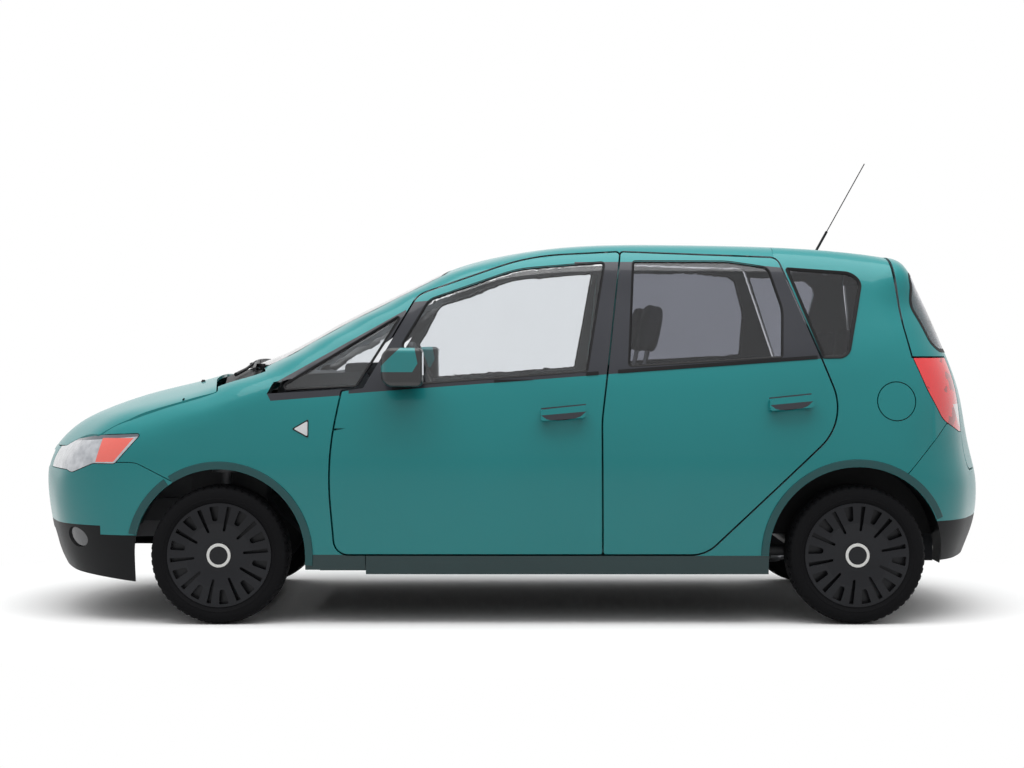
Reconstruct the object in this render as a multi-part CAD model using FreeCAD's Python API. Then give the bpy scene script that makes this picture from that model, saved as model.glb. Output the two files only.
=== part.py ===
"""A small five-door hatchback car, built from its separate panels, glass, wheels and running gear.

The frame stands on the ground under the middle of the car: X runs to the tail, Y to the car's
right side and Z up. The car's left side, which faces a viewer who looks along +Y, is at -Y.
Every outer panel is cut from one body surface, so that neighbours meet flush at their seams.
"""
import FreeCAD, Part
import math
import os

Vector = FreeCAD.Vector

# Driving dimensions, in millimetres
WHEELBASE = 2500.0
FRONT_OVERHANG = 817.0
REAR_OVERHANG = 613.0
BODY_WIDTH = 1695.0
BODY_HEIGHT = 1518.0
TYRE_RADIUS = 272.0
TYRE_WIDTH = 185.0
TRACK = 1450.0

# The overall frame that those give
LENGTH = FRONT_OVERHANG + WHEELBASE + REAR_OVERHANG
HALF_WIDTH = BODY_WIDTH / 2
FRONT_AXLE = FRONT_OVERHANG - LENGTH / 2
REAR_AXLE = FRONT_AXLE + WHEELBASE
AXLE_HEIGHT = TYRE_RADIUS
WHEEL_Y = TRACK / 2

# Roundings of the body, and how its surface is sampled
HOOD_ROUND = 170.0
NOSE_ROUND = 260.0
ROOF_END_ROUND = 42.0
TAIL_ROUND = 210.0
BELT_SOFTNESS = 22.0
SPINE_HEIGHT = 720.0
STATION_PITCH = 70.0
RAY_REACH = 2600.0
SAMPLE_STEP = 20.0

# Panels, gaps and seats
SHUT_GAP = 7.0
SEAT_GAP = 0.3
SKIN = 20.0
RIM = 9.0
DOOR_DEPTH = 86.0
FRAME_DEPTH = 44.0
RIM_INSET = 18.0
GLASS = 4.5
GLASS_SINK = 5.0
OVERRUN = 200.0

# Where the rays that sample the body start, and finer pitches for its small pieces
NOSE_HUB = -1120.0
TAIL_HUB = 1150.0
HOOD_HUB_X = -1250.0
HOOD_HUB_Z = 450.0
GATE_HUB_Z = 880.0
FINE_PITCH = 50.0
FOG_PITCH = 40.0
FINE_TURN = 4.0

# From where to where each sheet runs along the car, a little past what is cut from it
FRONT_DOOR_SPAN = (-780.0, 500.0)
REAR_DOOR_SPAN = (290.0, 1330.0)
FRONT_GLASS_SPAN = (-500.0, 440.0)
REAR_GLASS_SPAN = (400.0, 1130.0)
FRONT_HANDLE_SPAN = (60.0, 340.0)
REAR_HANDLE_SPAN = (950.0, 1230.0)
FRAME_SPAN = (-1040.0, 1100.0)
PILLAR_SPAN = (240.0, 540.0)
CORNER_SPAN = (-1060.0, -660.0)
SILL_SPAN = (-680.0, 1080.0)
QUARTER_SPAN = (700.0, 1725.0)
FENDER_SPAN = (-1760.0, -560.0)
ROOF_SPAN = (-300.0, 1560.0)
SCREEN_SPAN = (-1200.0, -190.0)
FRONT_QUARTER_SPAN = (-1040.0, -340.0)
REAR_QUARTER_SPAN = (1000.0, 1440.0)
HEADER_SPAN = (1300.0, 1560.0)
DASH_SPAN = (-1040.0, -500.0)
MIRROR_SPAN = (-600.0, -260.0)
COWL_SPAN = (-1300.0, -900.0)
ANTENNA_SPAN = (1200.0, 1400.0)
WIPER_SPAN = (-1260.0, -700.0)

# And from how low to how high
BUMPER_RISE = (110.0, 760.0)
GRILLE_RISE = (200.0, 700.0)
HEAD_LAMP_RISE = (540.0, 790.0)
FOG_LAMP_RISE = (250.0, 420.0)
FRAME_RISE = (300.0, 560.0)
TAIL_LAMP_RISE = (690.0, 1100.0)
REAR_BUMPER_RISE = (220.0, 830.0)

# Shares of the body's sizes. A station share runs from -1 at the nose over 0 at the front
# axle and 1 at the rear axle to 2 at the tail, and a height share is of the body's height.
crest_shares = [(-1.006, 0.461), (-0.737, 0.535), (-0.431, 0.593), (-0.113, 0.636), (0.009, 0.661),
                (0.065, 0.692), (0.167, 0.781), (0.269, 0.864), (0.371, 0.939), (0.439, 0.968),
                (0.539, 0.992), (0.699, 1.0), (0.819, 0.997), (0.948, 0.988), (1.344, 0.962),
                (1.649, 0.941)]
nose_shares = [(0.079, 0.847), (0.119, 0.886), (0.171, 0.934), (0.232, 0.968), (0.283, 0.985),
               (0.333, 0.995), (0.382, 0.999), (0.435, 1.002), (0.487, 0.982), (0.593, 0.927)]
tail_shares = [(0.099, 0.842), (0.165, 0.902), (0.232, 0.966), (0.316, 0.995), (0.366, 0.987),
               (0.433, 0.946), (0.501, 0.907), (0.601, 0.848), (0.702, 0.744), (0.802, 0.628),
               (0.903, 0.506), (0.955, 0.437)]
plan_shares = [(-1.006, 0.909), (-0.553, 0.944), (0.0, 0.977), (0.219, 0.995), (0.459, 1.0),
               (0.699, 1.0), (0.899, 0.997), (1.241, 0.983), (2.008, 0.944)]
flank_shares = [(0.099, -0.047), (0.152, -0.032), (0.217, -0.020), (0.296, -0.0095), (0.369, -0.0024),
                (0.422, 0.0), (0.474, -0.0035), (0.540, -0.014), (0.593, -0.027), (0.659, -0.047),
                (0.791, -0.094)]
belt_shares = [(0.0, 0.596), (0.081, 0.596), (0.195, 0.603), (0.331, 0.6225), (0.603, 0.652),
               (0.956, 0.688), (1.405, 0.702)]
crown_shares = [(-1.006, 0.136), (-0.431, 0.110), (0.0, 0.102), (0.179, 0.106), (0.459, 0.072),
                (0.739, 0.064), (1.405, 0.064)]
edge_shares = [(-1.006, 0.224), (-0.431, 0.177), (0.0, 0.130), (0.139, 0.088), (0.459, 0.100),
               (0.979, 0.112), (1.568, 0.106)]
tail_bow_shares = [(0.0, 0.288), (0.428, 0.288), (0.659, 0.186), (0.988, 0.144)]
nose_bow_share = 0.322
lean_share = 0.385
blend_power = 2.5


def station(share):
    """The X of a station share."""
    if share < 0:
        return FRONT_AXLE + share * FRONT_OVERHANG
    if share > 1:
        return REAR_AXLE + (share - 1) * REAR_OVERHANG
    return FRONT_AXLE + share * WHEELBASE


def level(share):
    """The Z of a height share."""
    return share * BODY_HEIGHT


class Curve:
    """A natural cubic spline through points, straight beyond its two ends."""

    def __init__(self, points):
        self.a = [point[0] for point in points]
        self.b = [point[1] for point in points]
        count = len(points)
        self.step = [self.a[i + 1] - self.a[i] for i in range(count - 1)]
        rise = [(self.b[i + 1] - self.b[i]) / self.step[i] for i in range(count - 1)]
        self.bend = [0.0] * count
        diagonal = [1.0] * count
        load = [0.0] * count
        for i in range(1, count - 1):
            weight = self.step[i - 1] / diagonal[i - 1] if i > 1 else 0.0
            diagonal[i] = 2 * (self.step[i - 1] + self.step[i]) - weight * self.step[i - 1]
            load[i] = 6 * (rise[i] - rise[i - 1]) - weight * load[i - 1]
        for i in range(count - 2, 0, -1):
            self.bend[i] = (load[i] - self.step[i] * self.bend[i + 1]) / diagonal[i]
        self.first_slope = rise[0] - self.step[0] * self.bend[1] / 6
        self.last_slope = rise[-1] + self.step[-1] * self.bend[-2] / 6

    def span(self, a):
        low, high = 0, len(self.a) - 1
        while high - low > 1:
            middle = (low + high) // 2
            if self.a[middle] > a:
                high = middle
            else:
                low = middle
        return low

    def at(self, a):
        if a <= self.a[0]:
            return self.b[0] + self.first_slope * (a - self.a[0])
        if a >= self.a[-1]:
            return self.b[-1] + self.last_slope * (a - self.a[-1])
        i = self.span(a)
        step = self.step[i]
        before, after = a - self.a[i], self.a[i + 1] - a
        return (self.bend[i] * after ** 3 / (6 * step) + self.bend[i + 1] * before ** 3 / (6 * step)
                + (self.b[i] / step - self.bend[i] * step / 6) * after
                + (self.b[i + 1] / step - self.bend[i + 1] * step / 6) * before)

    def slope(self, a):
        return (self.at(a + SAMPLE_STEP) - self.at(a - SAMPLE_STEP)) / (2 * SAMPLE_STEP)


crest = Curve([(station(s), level(h)) for s, h in crest_shares])
nose = Curve([(level(h), FRONT_AXLE - reach * FRONT_OVERHANG) for h, reach in nose_shares])
tail = Curve([(level(h), REAR_AXLE + reach * REAR_OVERHANG) for h, reach in tail_shares])
plan = Curve([(station(s), width * HALF_WIDTH) for s, width in plan_shares])
flank = Curve([(level(h), tuck * HALF_WIDTH) for h, tuck in flank_shares])
belt = Curve([(station(s), level(h)) for s, h in belt_shares])
crown = Curve([(station(s), drop / HALF_WIDTH) for s, drop in crown_shares])
edge = Curve([(station(s), radius * HALF_WIDTH) for s, radius in edge_shares])
tail_bow = Curve([(level(h), bow / HALF_WIDTH) for h, bow in tail_bow_shares])
NOSE_BOW = nose_bow_share / HALF_WIDTH


def soft_step(value, width):
    """Zero below, the value itself above, with a soft corner of the given width."""
    if value > 6 * width:
        return value
    if value < -6 * width:
        return 0.0
    return width * math.log1p(math.exp(value / width))


def smooth_share(value):
    """A share from 0 to 1 that leaves and arrives smoothly."""
    share = min(1.0, max(0.0, value))
    return share * share * (3 - 2 * share)


def half_width(x, z):
    """The half width of the body at a station and a height."""
    line = belt.at(x)
    below = line - soft_step(line - z, BELT_SOFTNESS)
    return plan.at(x) + flank.at(below) - lean_share * soft_step(z - line, BELT_SOFTNESS)


def round_corner(first, second, radius):
    """Join two faces, each given by its depth below zero, with a rounded corner."""
    a, b = first + radius, second + radius
    if a <= 0 or b <= 0:
        return max(first, second)
    return (a ** blend_power + b ** blend_power) ** (1 / blend_power) - radius


ROUND_START = 300.0
ROUND_RUN = 450.0
ROOF_ROUND_TOP = 1400.0
ROOF_ROUND_RUN = 160.0


def depth(x, y, z):
    """How far a point lies outside the body's surface, negative inside it."""
    across = abs(y)
    side = across - half_width(x, z)
    if z > belt.at(x):
        side /= math.sqrt(1 + lean_share ** 2)
    top = (z - crest.at(x) + crown.at(x) * y * y) / math.sqrt(1 + crest.slope(x) ** 2)
    result = round_corner(side, top, edge.at(x))
    if x < 0:
        front = (nose.at(z) + NOSE_BOW * y * y - x) / math.sqrt(1 + nose.slope(z) ** 2)
        share = smooth_share((across - ROUND_START) / ROUND_RUN)
        return round_corner(result, front, HOOD_ROUND + (NOSE_ROUND - HOOD_ROUND) * share)
    back = (x - tail.at(z) + tail_bow.at(z) * y * y) / math.sqrt(1 + tail.slope(z) ** 2)
    share = smooth_share((ROOF_ROUND_TOP - z) / ROOF_ROUND_RUN)
    return round_corner(result, back, ROOF_END_ROUND + (TAIL_ROUND - ROOF_END_ROUND) * share)


def cast(ray, below):
    """The point along a ray from inside the body that lies this far below its surface."""
    (x, y, z), (dx, dy, dz) = ray
    low, high = 0.0, RAY_REACH
    for _ in range(26):
        middle = (low + high) / 2
        if depth(x + dx * middle, y + dy * middle, z + dz * middle) < -below:
            low = middle
        else:
            high = middle
    return Vector(x + dx * low, y + dy * low, z + dz * low)


def steps(first, last, pitch):
    """Evenly spaced values from first to last, about a pitch apart."""
    count = max(3, round(abs(last - first) / pitch))
    return [first + (last - first) * i / count for i in range(count + 1)]


def section_rays(x_from, x_to, low, high, pitch=STATION_PITCH, turn=6.0):
    """Rays in upright cross sections, from the spine to the left flank and over the top."""
    return [[((x, 0, SPINE_HEIGHT), (0, -math.cos(math.radians(a)), math.sin(math.radians(a))))
             for a in steps(low, high, turn)] for x in steps(x_from, x_to, pitch)]


def plan_rays(x_hub, z_from, z_to, low, high, pitch=STATION_PITCH, turn=6.0):
    """Rays in level sections, turned from the tail's direction, 90 being the left side."""
    return [[((x_hub, 0, z), (math.cos(math.radians(a)), -math.sin(math.radians(a)), 0))
             for a in steps(low, high, turn)] for z in steps(z_from, z_to, pitch)]


def fan_rays(x_hub, z_hub, low, high, swing, turn=6.0):
    """Rays from one hub, turned up from the tail's direction and swung to both sides."""
    rays = []
    for rise in steps(low, high, turn):
        up, along = math.sin(math.radians(rise)), math.cos(math.radians(rise))
        rays.append([((x_hub, 0, z_hub), (along * math.cos(math.radians(s)), math.sin(math.radians(s)),
                                          up * math.cos(math.radians(s))))
                     for s in steps(-swing, swing, turn)])
    return rays


def sheet(rays, outer, inner):
    """A solid sheet of the body between two depths below its surface."""
    surfaces = []
    for below in (outer, inner):
        surface = Part.BSplineSurface()
        surface.interpolate([[cast(ray, below) for ray in row] for row in rays])
        surfaces.append(surface)
    faces = [surface.toShape() for surface in surfaces]
    first_u, last_u, first_v, last_v = surfaces[0].bounds()
    borders = [[s.uIso(first_u), s.uIso(last_u), s.vIso(first_v), s.vIso(last_v)] for s in surfaces]
    for outer_border, inner_border in zip(*borders):
        faces.append(Part.makeRuledSurface(outer_border.toShape(), inner_border.toShape()))
    shell = Part.makeShell(faces)
    shell.sewShape()
    solid = Part.Solid(shell)
    if solid.Volume < 0:
        solid.reverse()
    return solid


def rounded(points):
    """The straight runs and corner arcs of a closed outline of (a, b, corner radius) points."""
    runs = []
    for i, (a, b, radius) in enumerate(points):
        before, after = points[i - 1], points[(i + 1) % len(points)]
        back = math.hypot(before[0] - a, before[1] - b)
        ahead = math.hypot(after[0] - a, after[1] - b)
        ua, ub = (before[0] - a) / back, (before[1] - b) / back
        wa, wb = (after[0] - a) / ahead, (after[1] - b) / ahead
        half = math.acos(max(-1.0, min(1.0, ua * wa + ub * wb))) / 2
        if radius <= 0:
            runs.append(((a, b), None, (a, b)))
            continue
        reach = radius / math.tan(half)
        size = math.hypot(ua + wa, ub + wb)
        inward = radius / math.sin(half) - radius
        middle = (a + (ua + wa) / size * inward, b + (ub + wb) / size * inward)
        runs.append(((a + ua * reach, b + ub * reach), middle, (a + wa * reach, b + wb * reach)))
    return runs


def grown(points, distance):
    """The same outline moved outwards by a distance, or inwards where that is negative."""
    count = len(points)
    area = sum(points[i - 1][0] * points[i][1] - points[i][0] * points[i - 1][1] for i in range(count))
    sign = 1 if area > 0 else -1
    moved = []
    for i, (a, b, radius) in enumerate(points):
        before, after = points[i - 1], points[(i + 1) % count]
        first = math.hypot(a - before[0], b - before[1])
        last = math.hypot(after[0] - a, after[1] - b)
        n1 = (sign * (b - before[1]) / first, -sign * (a - before[0]) / first)
        n2 = (sign * (after[1] - b) / last, -sign * (after[0] - a) / last)
        share = 1 + n1[0] * n2[0] + n1[1] * n2[1]
        corner = (a + distance * (n1[0] + n2[0]) / share, b + distance * (n1[1] + n2[1]) / share)
        turn = sign * ((a - before[0]) * (after[1] - b) - (b - before[1]) * (after[0] - a))
        new_radius = radius + (distance if turn > 0 else -distance) if radius > 0 else 0
        moved.append((corner[0], corner[1], max(0, new_radius)))
    return moved


def flat_face(points, place):
    """A flat face inside an outline, each point put in space by the given function."""
    edges = []
    runs = rounded(points)
    for i, (start, middle, end) in enumerate(runs):
        last = runs[i - 1][2]
        if math.hypot(last[0] - start[0], last[1] - start[1]) > SEAT_GAP / 10:
            edges.append(Part.LineSegment(place(*last), place(*start)).toShape())
        if middle:
            edges.append(Part.Arc(place(*start), place(*middle), place(*end)).toShape())
    return Part.Face(Part.Wire(edges))


def side_prism(points, y_from=-BODY_WIDTH, y_to=0.0):
    """A side-view outline of (X, Z, radius) points carried through the car's width."""
    face = flat_face(points, lambda a, b: Vector(a, y_from, b))
    return face.extrude(Vector(0, y_to - y_from, 0))


def top_prism(points, z_from=0.0, z_to=BODY_HEIGHT + OVERRUN):
    """A plan outline of (X, Y, radius) points carried upwards."""
    face = flat_face(points, lambda a, b: Vector(a, b, z_from))
    return face.extrude(Vector(0, 0, z_to - z_from))


def end_prism(points, x_from, x_to):
    """An end-view outline of (Y, Z, radius) points carried along the car."""
    face = flat_face(points, lambda a, b: Vector(x_from, a, b))
    return face.extrude(Vector(x_to - x_from, 0, 0))


def side_points(shares):
    """Side-view points from station, height and corner shares."""
    return [(station(s), level(h), corner * BODY_HEIGHT) for s, h, corner in shares]


def box(x_from, x_to, y_from, y_to, z_from, z_to):
    """A plain block between two corners."""
    return Part.makeBox(x_to - x_from, y_to - y_from, z_to - z_from, Vector(x_from, y_from, z_from))


def rod(start, end, radius):
    """A round bar between two points."""
    return Part.makeCylinder(radius, (end - start).Length, start, end - start)


def tube(start, end, outer, inner):
    """A round pipe between two points."""
    return rod(start, end, outer).cut(rod(start, end, inner))


def joined(shapes):
    """One solid from several that overlap or touch."""
    return shapes[0].multiFuse(shapes[1:]).removeSplitter()


def mirrored(shape):
    """The same shape on the car's other side."""
    return shape.mirror(Vector(0, 0, 0), Vector(0, 1, 0))


def pair(shape):
    """A left-hand shape and its mirror image, as solids that stay apart."""
    return Part.makeCompound(shape.Solids + mirrored(shape).Solids)


def biggest(shape):
    """The largest solid of a shape, without slivers that a cut left behind."""
    return max(shape.Solids, key=lambda solid: solid.Volume)


ARCH_FRONT = TYRE_RADIUS + 66.0
ARCH_REAR = TYRE_RADIUS + 75.0


def wheel_space(axle, radius, inner):
    """The round space over a left wheel, from an inner plane outwards."""
    start = Vector(axle, -inner, AXLE_HEIGHT)
    space = rod(start, start + Vector(0, -BODY_WIDTH, 0), radius)
    below = box(axle - radius, axle + radius, -inner - BODY_WIDTH, -inner, -OVERRUN, AXLE_HEIGHT)
    return space.fuse(below)


# Side-view outlines, as station, height and corner shares
front_door_shares = [(0.193, 0.6015, 0.004), (0.1705, 0.422, 0.79), (0.183, 0.183, 0.036), (0.600, 0.183, 0.005),
                     (0.5988, 0.527, 0.26), (0.6312, 0.9665, 0.008), (0.487, 0.9545, 0.6),
                     (0.310, 0.852, 0.06), (0.226, 0.611, 0.007)]
front_glass_shares = [(0.307, 0.619, 0.008), (0.285, 0.722, 0.016), (0.327, 0.840, 0.046),
                      (0.467, 0.921, 0.33), (0.608, 0.940, 0.009), (0.5776, 0.652, 0.009)]
rear_door_shares = [(0.6028, 0.183, 0.005), (0.6016, 0.527, 0.26), (0.634, 0.9665, 0.008),
                    (0.882, 0.9505, 0.026), (0.982, 0.527, 0.139), (0.7616, 0.183, 0.089)]
rear_glass_shares = [(0.642, 0.665, 0.009), (0.652, 0.942, 0.009), (0.803, 0.941, 0.2), (0.868, 0.925, 0.026),
                     (0.8884, 0.814, 0.1), (0.8844, 0.689, 0.007)]
front_quarter_shares = [(0.0855, 0.604, 0.009), (0.2155, 0.6145, 0.005), (0.2875, 0.8055, 0.005)]
rear_quarter_shares = [(0.895, 0.924, 0.005), (1.0, 0.912, 0.05), (1.066, 0.886, 0.03), (0.989, 0.688, 0.033),
                       (0.948, 0.687, 0.004)]
head_lamp_shares = [(-0.915, 0.464, 0.0), (-0.823, 0.464, 0.006), (-0.596, 0.487, 0.2), (-0.377, 0.4925, 0.004),
                    (-0.506, 0.4155, 0.012), (-0.618, 0.4155, 0.03), (-0.740, 0.3885, 0.02),
                    (-0.770, 0.396, 0.004), (-0.915, 0.396, 0.0)]
bumper_line_shares = [(-1.2, 0.10, 0.0), (-1.2, 0.62, 0.0), (-0.9, 0.62, 0.0), (-0.506, 0.4175, 0.0),
                      (-0.403, 0.4175, 0.06), (-0.218, 0.367, 0.0), (-0.1, 0.10, 0.0)]
fender_shares = [(-0.67, 0.68, 0.0), (0.056, 0.672, 0.0), (0.0845, 0.626, 0.0), (0.0745, 0.596, 0.0),
                 (0.2, 0.6085, 0.0), (0.2292, 0.5, 0.0), (0.2292, 0.1417, 0.0), (-0.05, 0.1417, 0.0),
                 (-0.05, 0.30, 0.0), (-0.67, 0.30, 0.0)]
tail_line_shares = [(1.266, 1.06, 0.0), (1.266, 0.9495, 0.1), (1.327, 0.773, 0.3), (1.371, 0.6925, 0.0),
                    (2.3, 0.6925, 0.0), (2.3, 1.06, 0.0)]
tail_lamp_shares = [(1.3735, 0.6885, 0.003), (2.2, 0.6885, 0.0), (2.2, 0.489, 0.0), (1.715, 0.494, 0.02),
                    (1.575, 0.527, 0.06), (1.466, 0.604, 0.2)]
rear_bumper_shares = [(1.600, 0.5155, 0.0), (1.307, 0.381, 0.0), (1.2, 0.10, 0.0), (2.3, 0.10, 0.0),
                      (2.3, 0.5155, 0.0)]

front_door_line = side_points(front_door_shares)
rear_door_line = side_points(rear_door_shares)
front_glass_line = side_points(front_glass_shares)
rear_glass_line = side_points(rear_glass_shares)
front_quarter_line = side_points(front_quarter_shares)
rear_quarter_line = side_points(rear_quarter_shares)
head_lamp_line = side_points(head_lamp_shares)
bumper_line = side_points(bumper_line_shares)
tail_line = side_points(tail_line_shares)
tail_lamp_line = side_points(tail_lamp_shares)
rear_bumper_line = side_points(rear_bumper_shares)

# The hood, windscreen and roof in plan, as station, half width and corner shares
hood_shares = [(-0.970, 0.0, 0.0), (-0.958, -0.30, 0.3), (-0.800, -0.62, 0.12), (-0.594, -0.852, 0.05),
               (-0.440, -0.873, 0.1), (-0.024, -0.876, 0.008), (-0.082, -0.45, 0.6), (-0.093, 0.0, 0.0)]
screen_shares = [(0.014, 0.0, 0.0), (0.022, -0.35, 0.35), (0.062, -0.672, 0.03), (0.349, -0.622, 0.03),
                 (0.356, -0.3, 0.5), (0.356, 0.0, 0.0)]
roof_edge_share = 0.622
roof_front_share = 0.357
roof_rear_share = 1.2605


def plan_points(shares):
    """A plan outline over both sides from the points of its left half."""
    left = [(station(s), w * HALF_WIDTH, corner * HALF_WIDTH) for s, w, corner in shares]
    return left + [(x, -y, radius) for x, y, radius in reversed(left) if y]


hood_line = plan_points(hood_shares)
screen_line = plan_points(screen_shares)
ROOF_EDGE = roof_edge_share * HALF_WIDTH
ROOF_FRONT = station(roof_front_share)
ROOF_REAR = station(roof_rear_share)
LID_GAP = 8.5

# Door hinges: each door turns about a plain upright pin at two heights
HINGE_SETBACK = 66.0
HINGE_SINK = 15.0
HINGE_LOW = 500.0
HINGE_HIGH = 720.0
HINGE_TALL = 50.0
PIN_RADIUS = 5.0
PIN_PLAY = 0.3
PIN_GRIP = 10.0
ARM_WIDTH = 12.0
POCKET_ROOM = 3.0
POST_FACE = 722.0
POST_INNER = 640.0


def hinge_place(line_x):
    """The upright axis of a door's hinges, from the door's leading edge."""
    x = line_x + HINGE_SETBACK
    y = cast(((x, 0, (HINGE_LOW + HINGE_HIGH + HINGE_TALL) / 2), (0, -1, 0)), 0).y + HINGE_SINK
    return x, y


front_hinge = hinge_place(station(0.1768))
rear_hinge = hinge_place(station(0.6022))


def door_shell(line, window, span, hinge):
    """A door as thick as the real one: a rimmed skin, an inner box, its window cut out."""
    x_from, x_to = span
    rays = section_rays(x_from, x_to, -44, 66)
    deep = sheet(rays, 0, DOOR_DEPTH)
    shell = deep.common(side_prism(line))
    ring = side_prism(line).cut(side_prism(grown(line, -RIM_INSET)))
    shell = shell.cut(sheet(rays, RIM, DOOR_DEPTH + RIM).common(ring))
    upper = [(x_from, belt.at(x_from) + RIM, 0), (x_to, belt.at(x_to) + RIM, 0),
             (x_to, BODY_HEIGHT, 0), (x_from, BODY_HEIGHT, 0)]
    shell = shell.cut(sheet(rays, FRAME_DEPTH, DOOR_DEPTH + RIM).common(side_prism(upper)))
    shell = shell.cut(side_prism(window))
    x, y = hinge
    for z in (HINGE_LOW, HINGE_HIGH):
        pocket = box(x - OVERRUN, x + PIN_RADIUS + POCKET_ROOM, y - PIN_RADIUS - POCKET_ROOM, y + OVERRUN,
                     z, z + HINGE_TALL)
        bore = Part.makeCylinder(PIN_RADIUS + PIN_PLAY, HINGE_TALL + 2 * (PIN_GRIP + PIN_PLAY),
                                 Vector(x, y, z - PIN_GRIP - PIN_PLAY))
        shell = shell.cut(pocket).cut(bore)
    return biggest(shell)


def hinge_arms(hinge):
    """The fixed halves of a door's two hinges: a pin on an arm that leaves its post."""
    x, y = hinge
    arms = []
    for z in (HINGE_LOW, HINGE_HIGH):
        low = z + POCKET_ROOM
        tall = HINGE_TALL - 2 * POCKET_ROOM
        arm = box(x - ARM_WIDTH / 2, x + ARM_WIDTH / 2, y, -POST_FACE + POCKET_ROOM, low, low + tall)
        eye = Part.makeCylinder(ARM_WIDTH / 2, tall, Vector(x, y, low))
        pin = Part.makeCylinder(PIN_RADIUS, HINGE_TALL + 2 * PIN_GRIP, Vector(x, y, z - PIN_GRIP))
        arms.append(joined([arm, eye, pin]))
    return arms


def pane(line, rays, sink=GLASS_SINK):
    """A window glass that sits just inside its opening."""
    return biggest(sheet(rays, sink, sink + GLASS).common(side_prism(grown(line, -SEAT_GAP))))



# Seams between fixed panels, and the depth of the panels and frames
SEAM = 3.0
LAMP_GAP = 3.0
PILLAR_DEPTH = 55.0
QUARTER_DEPTH = 42.0
PILLAR_SINK = 50.0
RAIL_THICK = 34.0
POST_SINK = 116.0
POST_THICK = 64.0
SILL_DEPTH = 112.0
HOOD_SKIN = 12.0
HOOD_LOW = level(0.4525)
COWL_HALF = 690.0
HOOD_GAP = 6.0
ROOF_SKIN = 16.0
LAMP_DEPTH = 62.0
LAMP_LAP = 5.0
BUMPER_SKIN = 20.0
TAILGATE_DEPTH = 45.0
sill_low_share, sill_high_share = 0.1305, 0.1783
sill_front_share, sill_rear_share = 0.2304, 0.862
rail_end_share = 0.878

parts = {}
doors_cut = side_prism(grown(front_door_line, SHUT_GAP)).fuse(side_prism(grown(rear_door_line, SHUT_GAP)))
front_arch = wheel_space(FRONT_AXLE, ARCH_FRONT, HALF_WIDTH / 2)
rear_arch = wheel_space(REAR_AXLE, ARCH_REAR, HALF_WIDTH / 2)
roof_line = [(ROOF_FRONT, -ROOF_EDGE, 0), (ROOF_REAR, -ROOF_EDGE, 0), (ROOF_REAR, ROOF_EDGE, 0),
             (ROOF_FRONT, ROOF_EDGE, 0)]


front_handle_shares = [(0.504, 0.527, 0.006), (0.5745, 0.536, 0.011), (0.5745, 0.567, 0.011), (0.504, 0.556, 0.006)]
rear_handle_shares = [(0.861, 0.553, 0.006), (0.930, 0.562, 0.011), (0.930, 0.594, 0.011), (0.861, 0.583, 0.006)]
HANDLE_THICK = 16.0
HANDLE_REACH = 44.0


def handle(shares, x_from, x_to):
    """A pull handle that stands off its door on two feet."""
    line = side_points(shares)
    rays = section_rays(x_from, x_to, 0, 20, FINE_PITCH, FINE_TURN)
    bar = sheet(rays, -HANDLE_REACH, HANDLE_THICK - HANDLE_REACH).common(side_prism(line))
    feet = sheet(rays, -HANDLE_REACH + HANDLE_THICK / 2, SEAM).common(side_prism(line))
    gap = (line[1][0] - line[0][0]) * 0.2
    feet = feet.cut(box(line[0][0] + gap, line[1][0] - gap, -BODY_WIDTH, 0, 0, BODY_HEIGHT))
    return [biggest(bar)] + feet.Solids


def make_doors():
    """The four doors with their glass, the left ones first and then their mirror images."""
    front = door_shell(front_door_line, front_glass_line, FRONT_DOOR_SPAN, front_hinge)
    rear = door_shell(rear_door_line, rear_glass_line, REAR_DOOR_SPAN, rear_hinge)
    front = joined([front] + handle(front_handle_shares, *FRONT_HANDLE_SPAN))
    rear = joined([rear] + handle(rear_handle_shares, *REAR_HANDLE_SPAN))
    front_glass = pane(front_glass_line, section_rays(*FRONT_GLASS_SPAN, 5, 66))
    rear_glass = pane(rear_glass_line, section_rays(*REAR_GLASS_SPAN, 5, 66))
    for name, shape in (("front_door", front), ("rear_door", rear), ("front_door_glass", front_glass),
                        ("rear_door_glass", rear_glass)):
        parts[name + "_left"] = shape
        parts[name + "_right"] = mirrored(shape)


rail_shares = [(0.0845, 0.626, 0), (0.056, 0.672, 0), (0.02, 0.73, 0), (0.02, 1.06, 0), (0.878, 1.06, 0),
               (0.878, 0.94, 0), (0.60, 0.90, 0), (0.32, 0.80, 0), (0.20, 0.66, 0)]
cowl_side_shares = [(0.059, 0.664, 0), (0.083, 0.622, 0), (0.0745, 0.5960, 0), (0.169, 0.5960, 0),
                    (0.169, 0.55, 0), (0.059, 0.55, 0)]
post_shares = [(0.155, 0.134, 0), (0.219, 0.134, 0), (0.219, 0.586, 0), (0.155, 0.586, 0)]
lower_pillar_shares = [(0.575, 0.134, 0), (0.665, 0.134, 0), (0.640, 0.690, 0), (0.600, 0.690, 0)]
upper_pillar_shares = [(0.598, 0.670, 0), (0.634, 0.670, 0), (0.652, 0.99, 0), (0.618, 0.99, 0)]


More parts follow.
